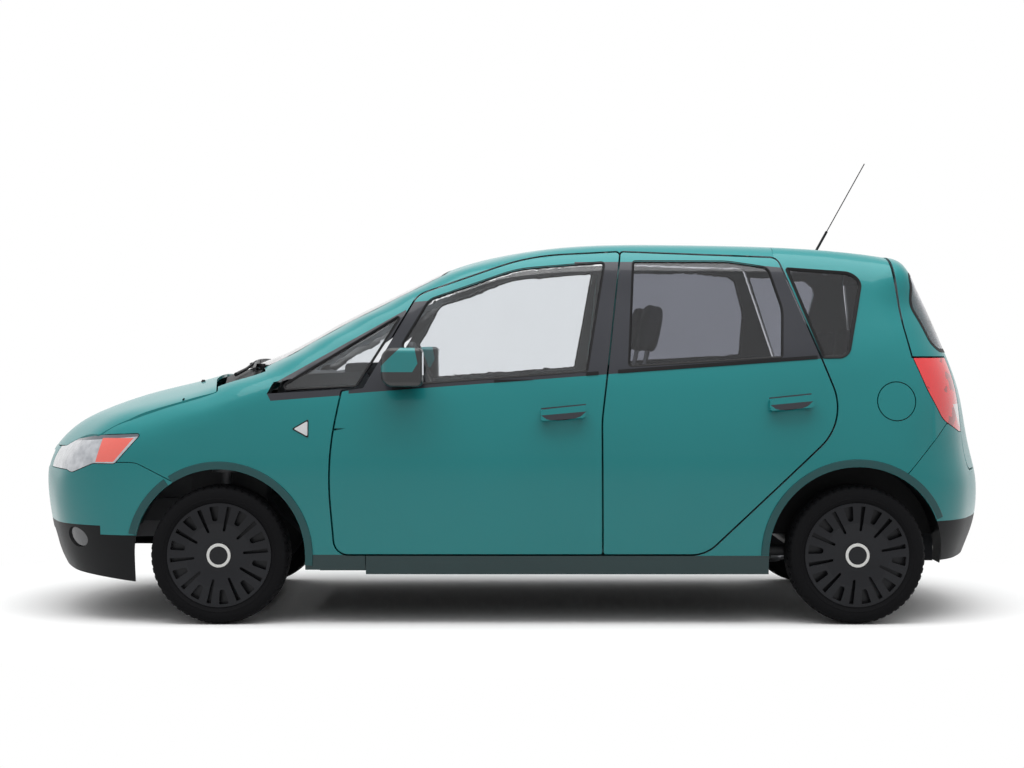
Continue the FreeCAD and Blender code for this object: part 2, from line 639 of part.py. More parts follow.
def make_side_frames():
    """Each side's A-post, windscreen pillar, roof rail, B-pillar and sill, welded as one frame."""
    rays = section_rays(*FRAME_SPAN, -6, 84)
    region = side_prism(side_points(rail_shares))
    rail = sheet(rays, 0, PILLAR_DEPTH).common(region)
    hidden = sheet(rays, PILLAR_SINK, PILLAR_SINK + RAIL_THICK).common(region)
    hidden = hidden.cut(side_prism(front_glass_line)).cut(side_prism(rear_glass_line))
    hidden = hidden.cut(side_prism(grown(front_quarter_line, -SKIN / 2)))
    hidden = hidden.cut(box(-LENGTH, LENGTH, -ROOF_EDGE + SKIN, 0, 0, 2 * BODY_HEIGHT))
    rail = rail.cut(side_prism(grown(front_quarter_line, SEAT_GAP))).cut(doors_cut)
    rail = rail.cut(top_prism(grown(roof_line, SEAT_GAP), SPINE_HEIGHT))
    rail = rail.cut(top_prism(grown(screen_line, SEAT_GAP), SPINE_HEIGHT))
    short = section_rays(*PILLAR_SPAN, -50, 84)
    lower = sheet(short, POST_SINK, POST_SINK + POST_THICK).common(side_prism(side_points(lower_pillar_shares)))
    upper = sheet(short, PILLAR_SINK, POST_SINK + POST_THICK / 2)
    upper = upper.common(side_prism(side_points(upper_pillar_shares)))
    upper = upper.cut(box(-LENGTH, LENGTH, -ROOF_EDGE + SKIN, 0, 0, 2 * BODY_HEIGHT))
    corner = sheet(section_rays(*CORNER_SPAN, -20, 40), SKIN + 4 * SEAT_GAP, POST_SINK + SKIN)
    corner = corner.common(side_prism(side_points(cowl_side_shares)))
    post = side_prism(side_points(post_shares), -POST_FACE, -POST_INNER)
    sill_front, sill_rear = station(sill_front_share), station(sill_rear_share)
    outer = sheet(section_rays(*SILL_SPAN, -52, -20), 0, SILL_DEPTH)
    outer = outer.common(box(sill_front, sill_rear, -BODY_WIDTH, 0, level(sill_low_share), level(sill_high_share)))
    inner = box(station(0.155), sill_rear, -POST_FACE, -POST_INNER, level(0.134), level(0.217))
    frame = joined([biggest(rail), biggest(hidden), biggest(lower), biggest(upper), biggest(corner), post, biggest(outer),
                    inner] + hinge_arms(front_hinge) + hinge_arms(rear_hinge))
    inside = box(station(0), station(1), -POST_INNER, 0, 0, level(0.62))
    parts["side_frames"] = pair(biggest(frame.cut(rear_arch).cut(inside)))


quarter_shares = [(0.72, 0.1787, 0), (0.72, 0.30, 0), (0.878, 0.60, 0), (0.878, 1.06, 0), (1.75, 1.06, 0),
                  (1.75, 0.1787, 0)]
FLAP_RADIUS = 74.0
FLAP_GAP = 4.0
FLAP_SKIN = 5.0
CUP_WALL = 12.0
CUP_DEPTH = 100.0
FLAP_X = station(1.253)
FLAP_Z = level(0.5765)
FLAP_Y = cast(((FLAP_X, 0, FLAP_Z), (0, -1, 0)), 0).y
FLAP_AHEAD = 38.0
FLAP_SINK = 24.0
FLAP_AXIS_X = FLAP_X - FLAP_RADIUS - FLAP_AHEAD
FLAP_AXIS_Y = cast(((FLAP_AXIS_X, 0, FLAP_Z), (0, -1, 0)), 0).y + FLAP_SINK
FLAP_ARM = 6.0
NECK_BACK = FLAP_AHEAD + 13.0
NECK_DEEP = 51.0
FLAP_HEIGHT = 20.0
CAP_RADIUS = 30.0
CAP_TALL = 24.0


def make_quarters():
    """The rear quarter panels, the left one with the fuel filler's cup behind its flap."""
    rays = section_rays(*QUARTER_SPAN, -46, 62)
    panel = sheet(rays, 0, QUARTER_DEPTH).common(side_prism(side_points(quarter_shares)))
    panel = panel.cut(side_prism(grown(rear_door_line, SHUT_GAP))).cut(rear_arch)
    panel = panel.cut(side_prism(grown(tail_line, SHUT_GAP)))
    panel = panel.cut(side_prism(grown(tail_lamp_line, LAMP_GAP)))
    panel = panel.cut(side_prism(grown(rear_bumper_line, SEAM)))
    panel = panel.cut(side_prism(grown(rear_quarter_line, SEAT_GAP)))
    panel = biggest(panel.cut(top_prism(grown(roof_line, SEAT_GAP), SPINE_HEIGHT)))
    inward = Vector(0, 1, 0)
    out = FLAP_Y - OVERRUN
    cup = Part.makeCylinder(FLAP_RADIUS + FLAP_GAP + CUP_WALL, CUP_DEPTH - SKIN, Vector(FLAP_X, FLAP_Y + SKIN, FLAP_Z), inward)
    hole = Part.makeCylinder(FLAP_RADIUS + FLAP_GAP, OVERRUN + CUP_DEPTH - CUP_WALL, Vector(FLAP_X, out, FLAP_Z), inward)
    bay_depth = CUP_DEPTH - CUP_WALL - FLAP_SKIN
    bay = box(FLAP_AXIS_X - FLAP_HEIGHT, FLAP_X, FLAP_AXIS_Y - FLAP_ARM - POCKET_ROOM, FLAP_Y + bay_depth,
              FLAP_Z - FLAP_HEIGHT, FLAP_Z + FLAP_HEIGHT)
    bay_wall = box(FLAP_AXIS_X - FLAP_HEIGHT - CUP_WALL, FLAP_X, FLAP_Y + SKIN, FLAP_Y + CUP_DEPTH,
                   FLAP_Z - FLAP_HEIGHT - CUP_WALL, FLAP_Z + FLAP_HEIGHT + CUP_WALL)
    pin = Part.makeCylinder(PIN_RADIUS / 2, 2 * FLAP_HEIGHT + 2 * POCKET_ROOM,
                            Vector(FLAP_AXIS_X, FLAP_AXIS_Y, FLAP_Z - FLAP_HEIGHT - POCKET_ROOM))
    cap = Part.makeCylinder(CAP_RADIUS, CAP_TALL, Vector(FLAP_X, FLAP_Y + CUP_DEPTH - CUP_WALL - CAP_TALL, FLAP_Z), inward)
    left = biggest(joined([panel, cup, bay_wall]).cut(hole).cut(bay).multiFuse([pin, cap]))
    parts["quarter_panels"] = Part.makeCompound([left, mirrored(panel)])
    flap = sheet(section_rays(FLAP_X - OVERRUN, FLAP_X + OVERRUN, -10, 30, FINE_PITCH, FINE_TURN), 0, FLAP_SKIN)
    flap = flap.common(Part.makeCylinder(FLAP_RADIUS, BODY_WIDTH, Vector(FLAP_X, -BODY_WIDTH, FLAP_Z), inward))
    reach = FLAP_AXIS_Y + NECK_DEEP
    back = FLAP_AXIS_X + NECK_BACK
    half = FLAP_HEIGHT / 2
    neck = [box(FLAP_AXIS_X - FLAP_ARM, FLAP_AXIS_X + FLAP_ARM / 2, FLAP_AXIS_Y, reach, FLAP_Z - half, FLAP_Z + half),
            box(FLAP_AXIS_X - FLAP_ARM, back, reach - FLAP_ARM, reach, FLAP_Z - half, FLAP_Z + half),
            box(back - FLAP_ARM, back, FLAP_Y + FLAP_SKIN / 2 - PIN_RADIUS, reach, FLAP_Z - half, FLAP_Z + half),
            Part.makeCylinder(FLAP_ARM, FLAP_HEIGHT, Vector(FLAP_AXIS_X, FLAP_AXIS_Y, FLAP_Z - half))]
    bore = Part.makeCylinder(PIN_RADIUS / 2 + PIN_PLAY, FLAP_HEIGHT * 2, Vector(FLAP_AXIS_X, FLAP_AXIS_Y, FLAP_Z - FLAP_HEIGHT))
    parts["fuel_flap"] = joined([biggest(flap)] + neck).cut(bore)


def make_fenders():
    """The front fenders, between the bumper, the hood, the pillar and the front door."""
    wing = sheet(section_rays(*FENDER_SPAN, -50, 42), 0, SKIN).common(side_prism(side_points(fender_shares)))
    wing = wing.cut(doors_cut).cut(front_arch)
    wing = wing.cut(top_prism(grown(hood_line, HOOD_GAP), SPINE_HEIGHT))
    wing = wing.cut(side_prism(grown(bumper_line, SEAM)))
    wing = wing.cut(side_prism(grown(head_lamp_line, LAMP_GAP)))
    wing = wing.cut(side_prism(grown(front_quarter_line, SEAT_GAP)))
    wing = wing.cut(box(station(-0.10), station(0.15), -COWL_HALF - SEAT_GAP, 0, SPINE_HEIGHT, BODY_HEIGHT))
    parts["front_fenders"] = pair(biggest(wing))


HOOD_AXIS_X = station(-0.186)
HOOD_AXIS_Z = level(0.5797)
HOOD_HINGE_Y = 600.0


def make_hood():
    """The hood: a skin with a stiffening frame beneath it, and its two hinge arms."""
    rays = fan_rays(HOOD_HUB_X, HOOD_HUB_Z, 72, 168, 64)
    skin = sheet(rays, 0, HOOD_SKIN).common(top_prism(hood_line, HOOD_LOW))
    frame = sheet(rays, HOOD_SKIN / 2, HOOD_SKIN + SKIN).common(top_prism(grown(hood_line, -2 * SKIN), HOOD_LOW))
    frame = frame.cut(top_prism(grown(hood_line, -7 * SKIN), 0))
    for y in (-HOOD_HINGE_Y, HOOD_HINGE_Y):
        wide = 2.5 * ARM_WIDTH
        frame = frame.cut(box(HOOD_AXIS_X - 3 * PLATE, 0, y - wide, y + wide, 0, BODY_HEIGHT))
    parts["hood"] = joined([biggest(skin), biggest(frame)])


def make_roof_and_glass():
    """The roof panel, the windscreen and the fixed side windows."""
    roof = sheet(section_rays(*ROOF_SPAN, 36, 144), 0, ROOF_SKIN).common(top_prism(roof_line, SPINE_HEIGHT))
    parts["roof_panel"] = biggest(roof)
    screen = sheet(section_rays(*SCREEN_SPAN, 24, 156), SEAT_GAP, SEAT_GAP + GLASS).common(top_prism(screen_line, SPINE_HEIGHT))
    parts["windscreen"] = biggest(screen)
    front = pane(front_quarter_line, section_rays(*FRONT_QUARTER_SPAN, 0, 60), SEAM)
    rear = pane(rear_quarter_line, section_rays(*REAR_QUARTER_SPAN, 5, 66), SEAM)
    parts["fixed_side_glass"] = Part.makeCompound(pair(front).Solids + pair(rear).Solids)


front_valance_shares = [(-1.3, 0.02, 0), (-1.3, 0.2525, 0), (-0.583, 0.2525, 0), (-0.583, 0.2292, 0),
                        (-0.1, 0.2292, 0), (-0.1, 0.02, 0)]
bumper_floor_shares = [(-1.3, 0.02, 0), (-1.3, 0.150, 0), (-0.786, 0.128, 0), (-0.1, 0.090, 0), (-0.1, 0.02, 0)]
grille_shares = [(0.0, 0.388, 0), (-0.42, 0.388, 0.012), (-0.46, 0.437, 0.012), (0.0, 0.437, 0)]
intake_shares = [(0.0, 0.158, 0), (-0.44, 0.158, 0.02), (-0.52, 0.228, 0.02), (0.0, 0.228, 0)]
head_lamp_end_share = 0.53
head_lamp_end = head_lamp_end_share * HALF_WIDTH
fog_share = 0.79
fog_height_share = 0.2187
FOG_RADIUS = 40.0
GRILLE_BARS = 5
GRILLE_LAP = 14.0
BAR_HEIGHT = 7.0


def across_points(shares):
    """An end-view outline over both sides from the points of its left half."""
    left = [(w * HALF_WIDTH, level(h), corner * BODY_HEIGHT) for w, h, corner in shares]
    return left + [(-y, z, radius) for y, z, radius in reversed(left) if y]


def make_front_end():
    """The bumper, its black valance, the grille bars behind both openings, and the lamps."""
    rays = plan_rays(NOSE_HUB, *BUMPER_RISE, 70, 290)
    nose_end, hub = -LENGTH, FRONT_AXLE
    full = side_prism(bumper_line, -BODY_WIDTH, BODY_WIDTH)
    arches = front_arch.fuse(mirrored(front_arch))
    lamps = side_prism(grown(head_lamp_line, LAMP_GAP), -BODY_WIDTH, BODY_WIDTH)
    middle = box(nose_end, 0, -head_lamp_end, head_lamp_end, 0, BODY_HEIGHT)
    shell = sheet(rays, 0, BUMPER_SKIN).common(full).cut(arches).cut(lamps.cut(middle))
    shell = shell.cut(top_prism(grown(hood_line, HOOD_GAP), HOOD_LOW - HOOD_GAP))
    shell = shell.cut(side_prism(side_points(bumper_floor_shares), -BODY_WIDTH, BODY_WIDTH))
    grille, intake = across_points(grille_shares), across_points(intake_shares)
    for line in (grille, intake):
        shell = shell.cut(end_prism(line, nose_end, hub))
    fog = [Part.makeCylinder(FOG_RADIUS, LENGTH, Vector(nose_end, side * fog_share * HALF_WIDTH, level(fog_height_share)), Vector(1, 0, 0))
           for side in (-1, 1)]
    shell = shell.cut(fog[0]).cut(fog[1])
    lower = side_prism(side_points(front_valance_shares), -BODY_WIDTH, BODY_WIDTH)
    parts["front_bumper"] = biggest(shell.cut(lower))
    parts["front_valance"] = biggest(shell.common(side_prism(grown(side_points(front_valance_shares), -SEAT_GAP), -BODY_WIDTH, BODY_WIDTH)))
    deep = sheet(plan_rays(NOSE_HUB, *GRILLE_RISE, 130, 230), BUMPER_SKIN + 5 * SEAT_GAP, 2 * BUMPER_SKIN)
    bars = []
    for line in (grille, intake):
        low = min(z for y, z, r in line)
        high = max(z for y, z, r in line)
        frame = end_prism(grown(line, GRILLE_LAP), nose_end, hub).cut(end_prism(grown(line, -SEAM), nose_end, hub))
        stays = [frame]
        for i in range(1, GRILLE_BARS):
            z = low + (high - low) * i / GRILLE_BARS
            stays.append(box(nose_end, hub, -HALF_WIDTH * 0.5, HALF_WIDTH * 0.5, z - BAR_HEIGHT / 2, z + BAR_HEIGHT / 2))
        tool = stays[0].multiFuse(stays[1:]).cut(top_prism(grown(hood_line, HOOD_GAP), HOOD_LOW - HOOD_GAP))
        bars.append(biggest(deep.common(tool.common(end_prism(grown(line, GRILLE_LAP), nose_end, hub)))))
    parts["front_grille"] = Part.makeCompound(bars)
    lamp = sheet(plan_rays(NOSE_HUB, *HEAD_LAMP_RISE, 80, 170, FINE_PITCH, FINE_TURN), SEAT_GAP, LAMP_DEPTH)
    lamp = biggest(lamp.common(side_prism(head_lamp_line, -BODY_WIDTH, -head_lamp_end - LAMP_GAP)).cut(top_prism(grown(hood_line, LAMP_GAP), HOOD_LOW - LAMP_GAP)))
    glow = sheet(plan_rays(NOSE_HUB, *FOG_LAMP_RISE, 110, 160, FOG_PITCH, FINE_TURN), BUMPER_SKIN / 2, LAMP_DEPTH)
    glow = biggest(glow.common(Part.makeCylinder(FOG_RADIUS - SEAT_GAP, LENGTH, Vector(nose_end, -fog_share * HALF_WIDTH, level(fog_height_share)), Vector(1, 0, 0))))
    parts["front_lamps"] = Part.makeCompound(pair(lamp).Solids + pair(glow).Solids)


tailgate_lower_shares = [(0.0, 0.392, 0), (-0.655, 0.392, 0.035), (-0.715, 0.60, 0.2), (-0.735, 0.72, 0), (0.0, 0.72, 0)]
back_glass_shares = [(0.0, 0.700, 0), (-0.812, 0.703, 0.03), (-0.742, 0.912, 0.03), (0.0, 0.918, 0)]
back_daylight_shares = [(0.0, 0.722, 0), (-0.68, 0.722, 0.04), (-0.63, 0.893, 0.04), (0.0, 0.898, 0)]
plate_bay_shares = [(0.0, 0.45, 0), (-0.34, 0.45, 0.01), (-0.34, 0.545, 0.01), (0.0, 0.545, 0)]
HATCH_SETBACK = 60.0
HATCH_AXIS_X = ROOF_REAR + LID_GAP + HATCH_SETBACK
HATCH_AXIS_Z = crest.at(HATCH_AXIS_X) - 20.0
HATCH_HINGE_Y = 320.0


def make_tail():
    """The tailgate with its glass, the lamps beside it and the bumper and valance below."""
    rays = fan_rays(TAIL_HUB, GATE_HUB_Z, -26, 70, 68)
    tail_start, tail_end = ROOF_REAR, LENGTH
    upper = grown(tail_line, 0)
    upper = [(max(x, ROOF_REAR + LID_GAP), z, r) for x, z, r in upper]
    lower = across_points(tailgate_lower_shares)
    region = side_prism(upper, -BODY_WIDTH, BODY_WIDTH).fuse(end_prism(lower, tail_start, tail_end))
    gate = sheet(rays, 0, TAILGATE_DEPTH).common(region)
    glass, daylight = across_points(back_glass_shares), across_points(back_daylight_shares)
    gate = gate.cut(sheet(rays, -SKIN, GLASS + SEAT_GAP).common(end_prism(grown(glass, SEAT_GAP), tail_start, tail_end)))
    gate = gate.cut(end_prism(daylight, tail_start, tail_end))
    parts["tailgate"] = biggest(gate)
    parts["tailgate_glass"] = biggest(sheet(rays, 0, GLASS).common(end_prism(glass, tail_start, tail_end)))
    hatch_cut = end_prism(grown(lower, SHUT_GAP), tail_start, tail_end)
    turns = plan_rays(TAIL_HUB, *TAIL_LAMP_RISE, 15, 90, FINE_PITCH, FINE_TURN)
    lamp = sheet(turns, 0, LAMP_DEPTH).common(side_prism(tail_lamp_line))
    bowl = sheet(turns, QUARTER_DEPTH + LAMP_LAP, LAMP_DEPTH).common(side_prism(grown(tail_lamp_line, 3 * SEAM)))
    lamp = lamp.fuse(bowl).removeSplitter().cut(hatch_cut).cut(side_prism(grown(tail_line, SHUT_GAP)))
    parts["tail_lamps"] = pair(biggest(lamp))
    lamps = side_prism(grown(tail_lamp_line, LAMP_GAP), -BODY_WIDTH, BODY_WIDTH)
    shell = sheet(plan_rays(TAIL_HUB, *REAR_BUMPER_RISE, -106, 106), 0, BUMPER_SKIN)
    shell = shell.common(side_prism(rear_bumper_line, -BODY_WIDTH, BODY_WIDTH)).cut(lamps).cut(hatch_cut)
    shell = shell.cut(rear_arch.fuse(mirrored(rear_arch)))
    shell = shell.cut(box(0, LENGTH, -BODY_WIDTH, BODY_WIDTH, 0, level(0.160)))
    split = level(0.265)
    parts["rear_bumper"] = biggest(shell.common(box(0, LENGTH, -BODY_WIDTH, BODY_WIDTH, split, BODY_HEIGHT)))
    parts["rear_valance"] = biggest(shell.common(box(0, LENGTH, -BODY_WIDTH, BODY_WIDTH, 0, split - SEAT_GAP)))



# Wheels
RIM_RADIUS = 200.0
RIM_WALL = 8.0
RIM_WIDTH = 168.0
BEAD_INSET = 8.0
FRONT_TURN = -5.9
REAR_TURN = -10.8
TREAD_WIDTH = 150.0
SHOULDER = 10.0
BULGE_RADIUS = 236.0
COVER_RADIUS = 204.0
COVER_WALL = 5.0
HUB_RADIUS = 62.0
RING_RADIUS = 48.0
SPINDLE_RADIUS = 16.0
RUNNING_PLAY = 0.08
PETALS = 10


def turned(points):
    """A ring turned about the wheel's axis from an outline of (radius, Y) points."""
    corners = [Vector(radius, y, 0) for radius, y in points]
    face = Part.Face(Part.makePolygon(corners + corners[:1]))
    return face.revolve(Vector(0, 0, 0), Vector(0, 1, 0), 360)


def make_tyre():
    """A tyre standing on its wheel's axis, its outer side towards -Y."""
    half, tread, bead = TYRE_WIDTH / 2, TREAD_WIDTH / 2, RIM_WIDTH / 2 - BEAD_INSET
    inner = RIM_RADIUS + SEAT_GAP
    side = [(TYRE_RADIUS, tread), (TYRE_RADIUS - SHOULDER, half - SHOULDER / 2), (BULGE_RADIUS, half), (inner, bead)]
    return turned(side + [(radius, -y) for radius, y in reversed(side)])


def cover_slot(angle, inner, outer, inner_width, outer_width):
    """A rounded cut-out of the cover between two radii, narrower towards the hub."""
    corner = inner_width * 0.45
    points = [(inner, -inner_width / 2, corner), (outer, -outer_width / 2, corner / 2),
              (outer, outer_width / 2, corner / 2), (inner, inner_width / 2, corner)]
    face = flat_face(points, lambda a, b: Vector(a, -TYRE_WIDTH, b))
    slot = face.extrude(Vector(0, TYRE_WIDTH, 0))
    slot.rotate(Vector(0, 0, 0), Vector(0, 1, 0), angle)
    return slot


slot_inner_share, slot_outer_share = 0.47, 0.95
window_inner_share, window_outer_share = 0.66, 0.94
slot_width_share, window_width_share = 0.047, 0.185


def make_wheel():
    """A steel wheel with its clipped-on cover: ten forked petals round a ringed cap."""
    lip = RIM_WIDTH / 2
    disc_y = -lip * 0.55
    rim = turned([(RIM_RADIUS, -lip), (RIM_RADIUS, lip), (RIM_RADIUS - RIM_WALL, lip), (RIM_RADIUS - RIM_WALL, -lip)])
    disc = turned([(0, disc_y), (0, disc_y + RIM_WALL), (RIM_RADIUS - RIM_WALL / 2, disc_y + RIM_WALL),
                   (RIM_RADIUS - RIM_WALL / 2, disc_y)])
    boss = turned([(0, disc_y - RIM_WALL), (0, lip * 0.2), (HUB_RADIUS, lip * 0.2), (HUB_RADIUS, disc_y - RIM_WALL)])
    face_y = -lip - COVER_WALL
    crest_y = face_y - COVER_WALL * 1.5
    front = [(HUB_RADIUS * 0.3, crest_y + COVER_WALL), (HUB_RADIUS, crest_y + COVER_WALL), (COVER_RADIUS * 0.62, crest_y),
             (COVER_RADIUS * 0.9, face_y), (COVER_RADIUS, face_y + COVER_WALL / 2)]
    cover = turned(front + [(radius, y + COVER_WALL) for radius, y in reversed(front)])
    cap = turned([(0, crest_y - COVER_WALL / 2), (RING_RADIUS * 0.7, crest_y - COVER_WALL / 2), (RING_RADIUS, crest_y),
                  (RING_RADIUS, disc_y), (0, disc_y)])
    for i in range(PETALS):
        turn = 360.0 / PETALS * i
        cover = cover.cut(cover_slot(turn, COVER_RADIUS * slot_inner_share, COVER_RADIUS * slot_outer_share,
                                     COVER_RADIUS * slot_width_share, COVER_RADIUS * slot_width_share * 1.8))
        cover = cover.cut(cover_slot(turn + 180.0 / PETALS, COVER_RADIUS * window_inner_share,
                                     COVER_RADIUS * window_outer_share, COVER_RADIUS * window_width_share * 0.5,
                                     COVER_RADIUS * window_width_share))
    wheel = joined([rim, disc, boss, cover, cap])
    bore = Part.makeCylinder(SPINDLE_RADIUS + RUNNING_PLAY, lip, Vector(0, disc_y + RIM_WALL, 0), Vector(0, 1, 0))
    return wheel.cut(bore)


def make_wheels():
    """Four tyres and four wheels, the left ones placed and the right ones mirrored."""
    tyre, wheel = make_tyre(), make_wheel()
    for name, axle, turn in (("front", FRONT_AXLE, FRONT_TURN), ("rear", REAR_AXLE, REAR_TURN)):
        for kind, shape in (("tyre", tyre), ("wheel", wheel)):
            left = shape.copy()
            left.rotate(Vector(0, 0, 0), Vector(0, 1, 0), turn)
            left.translate(Vector(axle, -WHEEL_Y, AXLE_HEIGHT))
            parts[kind + "_" + name + "_left"] = left
            parts[kind + "_" + name + "_right"] = mirrored(left)


# Steering and suspension
BALL_Y = -690.0
BALL_Z = 150.0
TOWER_Y = -575.0
TOWER_Z = 770.0
STUD_RADIUS = 10.0
UPRIGHT_THICK = 36.0
UPRIGHT_HALF = 45.0
STRUT_RADIUS = 22.0
SPRING_RADIUS = 60.0
ARM_THICK = 28.0
SPINDLE_END = WHEEL_Y - RIM_WIDTH * 0.15
KINGPIN = Vector(0, TOWER_Y - BALL_Y, TOWER_Z - BALL_Z)


def along_kingpin(distance):
    """A point on the left steering axis, this far above its lower ball."""
    unit = Vector(KINGPIN).normalize()
    return Vector(FRONT_AXLE, BALL_Y, BALL_Z) + unit * distance


def make_knuckles():
    """The steering knuckles: upright, spindle, strut and spring, turning about their studs."""
    x = FRONT_AXLE
    inner_y = -WHEEL_Y + RIM_WIDTH / 2 - ARM_THICK
    upright = box(x - UPRIGHT_HALF, x + UPRIGHT_HALF, inner_y - UPRIGHT_THICK, inner_y, BALL_Z + ARM_THICK, AXLE_HEIGHT + 2 * UPRIGHT_HALF)
    lug = rod(along_kingpin(ARM_THICK), along_kingpin(ARM_THICK * 2.2), ARM_THICK)
    spindle = rod(Vector(x, inner_y, AXLE_HEIGHT), Vector(x, -SPINDLE_END - RIM_WALL, AXLE_HEIGHT), SPINDLE_RADIUS)
    top = along_kingpin(KINGPIN.Length - STRUT_RADIUS)
    foot = Vector(x, TOWER_Y - STRUT_RADIUS * 0.9, AXLE_HEIGHT + UPRIGHT_HALF)
    shelf = box(x - UPRIGHT_HALF / 2, x + UPRIGHT_HALF / 2, inner_y - UPRIGHT_THICK / 2,
                foot.y + STRUT_RADIUS / 2, foot.z, AXLE_HEIGHT + 2 * UPRIGHT_HALF)
    strut = rod(foot, top, STRUT_RADIUS)
    spring_low = foot + (top - foot) * 0.62
    spring = rod(spring_low, top, SPRING_RADIUS)
    stud = rod(top, along_kingpin(KINGPIN.Length + STRUT_RADIUS), STUD_RADIUS)
    knuckle = joined([upright, lug, spindle, shelf, strut, spring, stud])
    socket = rod(along_kingpin(0), along_kingpin(ARM_THICK * 1.8), STUD_RADIUS + PIN_PLAY)
    parts["knuckle_left"] = knuckle.cut(socket)
    parts["knuckle_right"] = mirrored(parts["knuckle_left"])


SUBFRAME_Y = 330.0
TRAIL_PIVOT_X = station(0.86)
TRAIL_Y = 585.0


def make_running_gear():
    """The fixed suspension: the front subframe with its arms, and the rear beam on its arms."""
    x = FRONT_AXLE
    low = BALL_Z - ARM_THICK / 2
    cross = box(x - ARM_THICK, x + 5 * ARM_THICK, -SUBFRAME_Y - ARM_THICK, SUBFRAME_Y + ARM_THICK, low, low + 2 * ARM_THICK)
    pieces = [cross]
    for side in (-1, 1):
        inner = Vector(x, side * SUBFRAME_Y, BALL_Z)
        ball = Vector(x, side * -BALL_Y, BALL_Z)
        rear = Vector(x + 4 * ARM_THICK, side * SUBFRAME_Y, BALL_Z)
        pieces += [rod(inner, ball, ARM_THICK / 2), rod(rear, ball, ARM_THICK / 2),
                   Part.makeSphere(ARM_THICK * 0.7, ball)]
        end = along_kingpin(ARM_THICK * 1.6)
        pieces.append(rod(ball, Vector(end.x, side * -end.y, end.z), STUD_RADIUS))
        pieces.append(box(x + ARM_THICK, x + 3 * ARM_THICK, side * SUBFRAME_Y - ARM_THICK, side * SUBFRAME_Y + ARM_THICK, low, FRAME_RAIL_Z - SEAT_GAP))
    parts["front_suspension"] = joined(pieces)
    beam_x = (TRAIL_PIVOT_X + REAR_AXLE) / 2
    pieces = [rod(Vector(beam_x, -TRAIL_Y, AXLE_HEIGHT), Vector(beam_x, TRAIL_Y, AXLE_HEIGHT), ARM_THICK)]
    for side in (-1, 1):
        y = side * TRAIL_Y
        pivot = Vector(TRAIL_PIVOT_X, y, AXLE_HEIGHT)
        hub = Vector(REAR_AXLE, y, AXLE_HEIGHT)
        pieces += [rod(pivot, hub, ARM_THICK * 0.8), box(pivot.x - 2 * PLATE, pivot.x - PLATE / 2, y - PLATE, y + PLATE, AXLE_HEIGHT, level(seat_floor_share) - SEAT_GAP), Part.makeSphere(ARM_THICK, hub), Part.makeSphere(ARM_THICK * 1.3, pivot),
                   rod(hub, Vector(REAR_AXLE, side * (SPINDLE_END + RIM_WALL), AXLE_HEIGHT), SPINDLE_RADIUS)]
        seat = Vector(REAR_AXLE - 3 * ARM_THICK, side * (TRAIL_Y - 4.3 * ARM_THICK), AXLE_HEIGHT)
        pieces += [rod(seat, Vector(seat.x, y, seat.z), ARM_THICK * 0.7),
                   rod(seat, Vector(seat.x, seat.y, BOOT_FLOOR - SEAT_GAP), SPRING_RADIUS * 0.8)]
    parts["rear_axle"] = joined(pieces)


# Floor, cabin and engine bay
floor_low_share = 0.132
seat_floor_share = 0.235
PLATE = 20.0
BOOT_FLOOR = 380.0
CABIN_HALF = POST_INNER - SEAT_GAP
WELL_INNER = 520.0
BRACKET_Y = 420.0
TOW_RADIUS = 8.0
TOW_LONG = 40.0
TOW_X = station(1.64)
TOW_Y = -300.0
TOW_Z = 222.0
BULKHEAD_X = station(0.06)
FRAME_RAIL_Z = 380.0
RAIL_TALL = 90.0
RAIL_INNER = 410.0
RAIL_OUTER = 465.0
LATCH_HALF = 444.0
floor_shares = [(0.060, 0.60, 0), (0.060, 0.30, 0.05), (0.170, 0.132, 0.03), (0.745, 0.132, 0.02), (0.765, 0.235, 0.02),
                (0.885, 0.235, 0.02), (0.915, 0.2503, 0.02), (1.67, 0.2503, 0.01), (1.67, 0.385, 0)]


def floor_profile():
    """The floor's outline in side view: its lower line, and the same line one plate higher."""
    low = side_points(floor_shares)
    count = len(low)
    high = []
    for i in range(count):
        a = low[max(0, i - 1)]
        b = low[min(count - 1, i + 1)]
        size = math.hypot(b[0] - a[0], b[1] - a[1])
        high.append((low[i][0] - (b[1] - a[1]) / size * PLATE, low[i][1] + (b[0] - a[0]) / size * PLATE, low[i][2]))
    return low + high[::-1]


def make_floor():
    """The welded floor: bulkhead, toe board, floor with its tunnel, seat heel, boot and rear panel."""
    floor = side_prism(floor_profile(), -CABIN_HALF, CABIN_HALF)
    for side in (-1, 1):
        well_half = ARCH_REAR + 5 * SEAM
        well = box(REAR_AXLE - well_half, REAR_AXLE + well_half, WELL_INNER, BODY_WIDTH, 0, BODY_HEIGHT)
        floor = floor.cut(well if side > 0 else mirrored(well))
    space = wheel_space(FRONT_AXLE, ARCH_FRONT + 4 * SEAM, WELL_INNER - 2 * PLATE)
    floor = floor.cut(space).cut(mirrored(space))
    rear = station(1.67)
    outside = sheet(plan_rays(TAIL_HUB, *REAR_BUMPER_RISE, -106, 106), -SKIN, BUMPER_SKIN + SEAT_GAP)
    for y in (-BRACKET_Y, BRACKET_Y):
        bracket = box(rear - PLATE / 2, LENGTH / 2, y - PLATE, y + PLATE, level(0.29), level(0.35))
        floor = floor.fuse(biggest(bracket.cut(outside)))
    tow = box(TOW_X - TOW_LONG, TOW_X, TOW_Y - PLATE, TOW_Y + PLATE, TOW_Z - PLATE, BOOT_FLOOR + PLATE / 2)
    floor = floor.fuse(tow).cut(rod(Vector(TOW_X - TOW_LONG, TOW_Y, TOW_Z), Vector(TOW_X, TOW_Y, TOW_Z), TOW_RADIUS))
    parts["floor_pan"] = biggest(floor.removeSplitter())


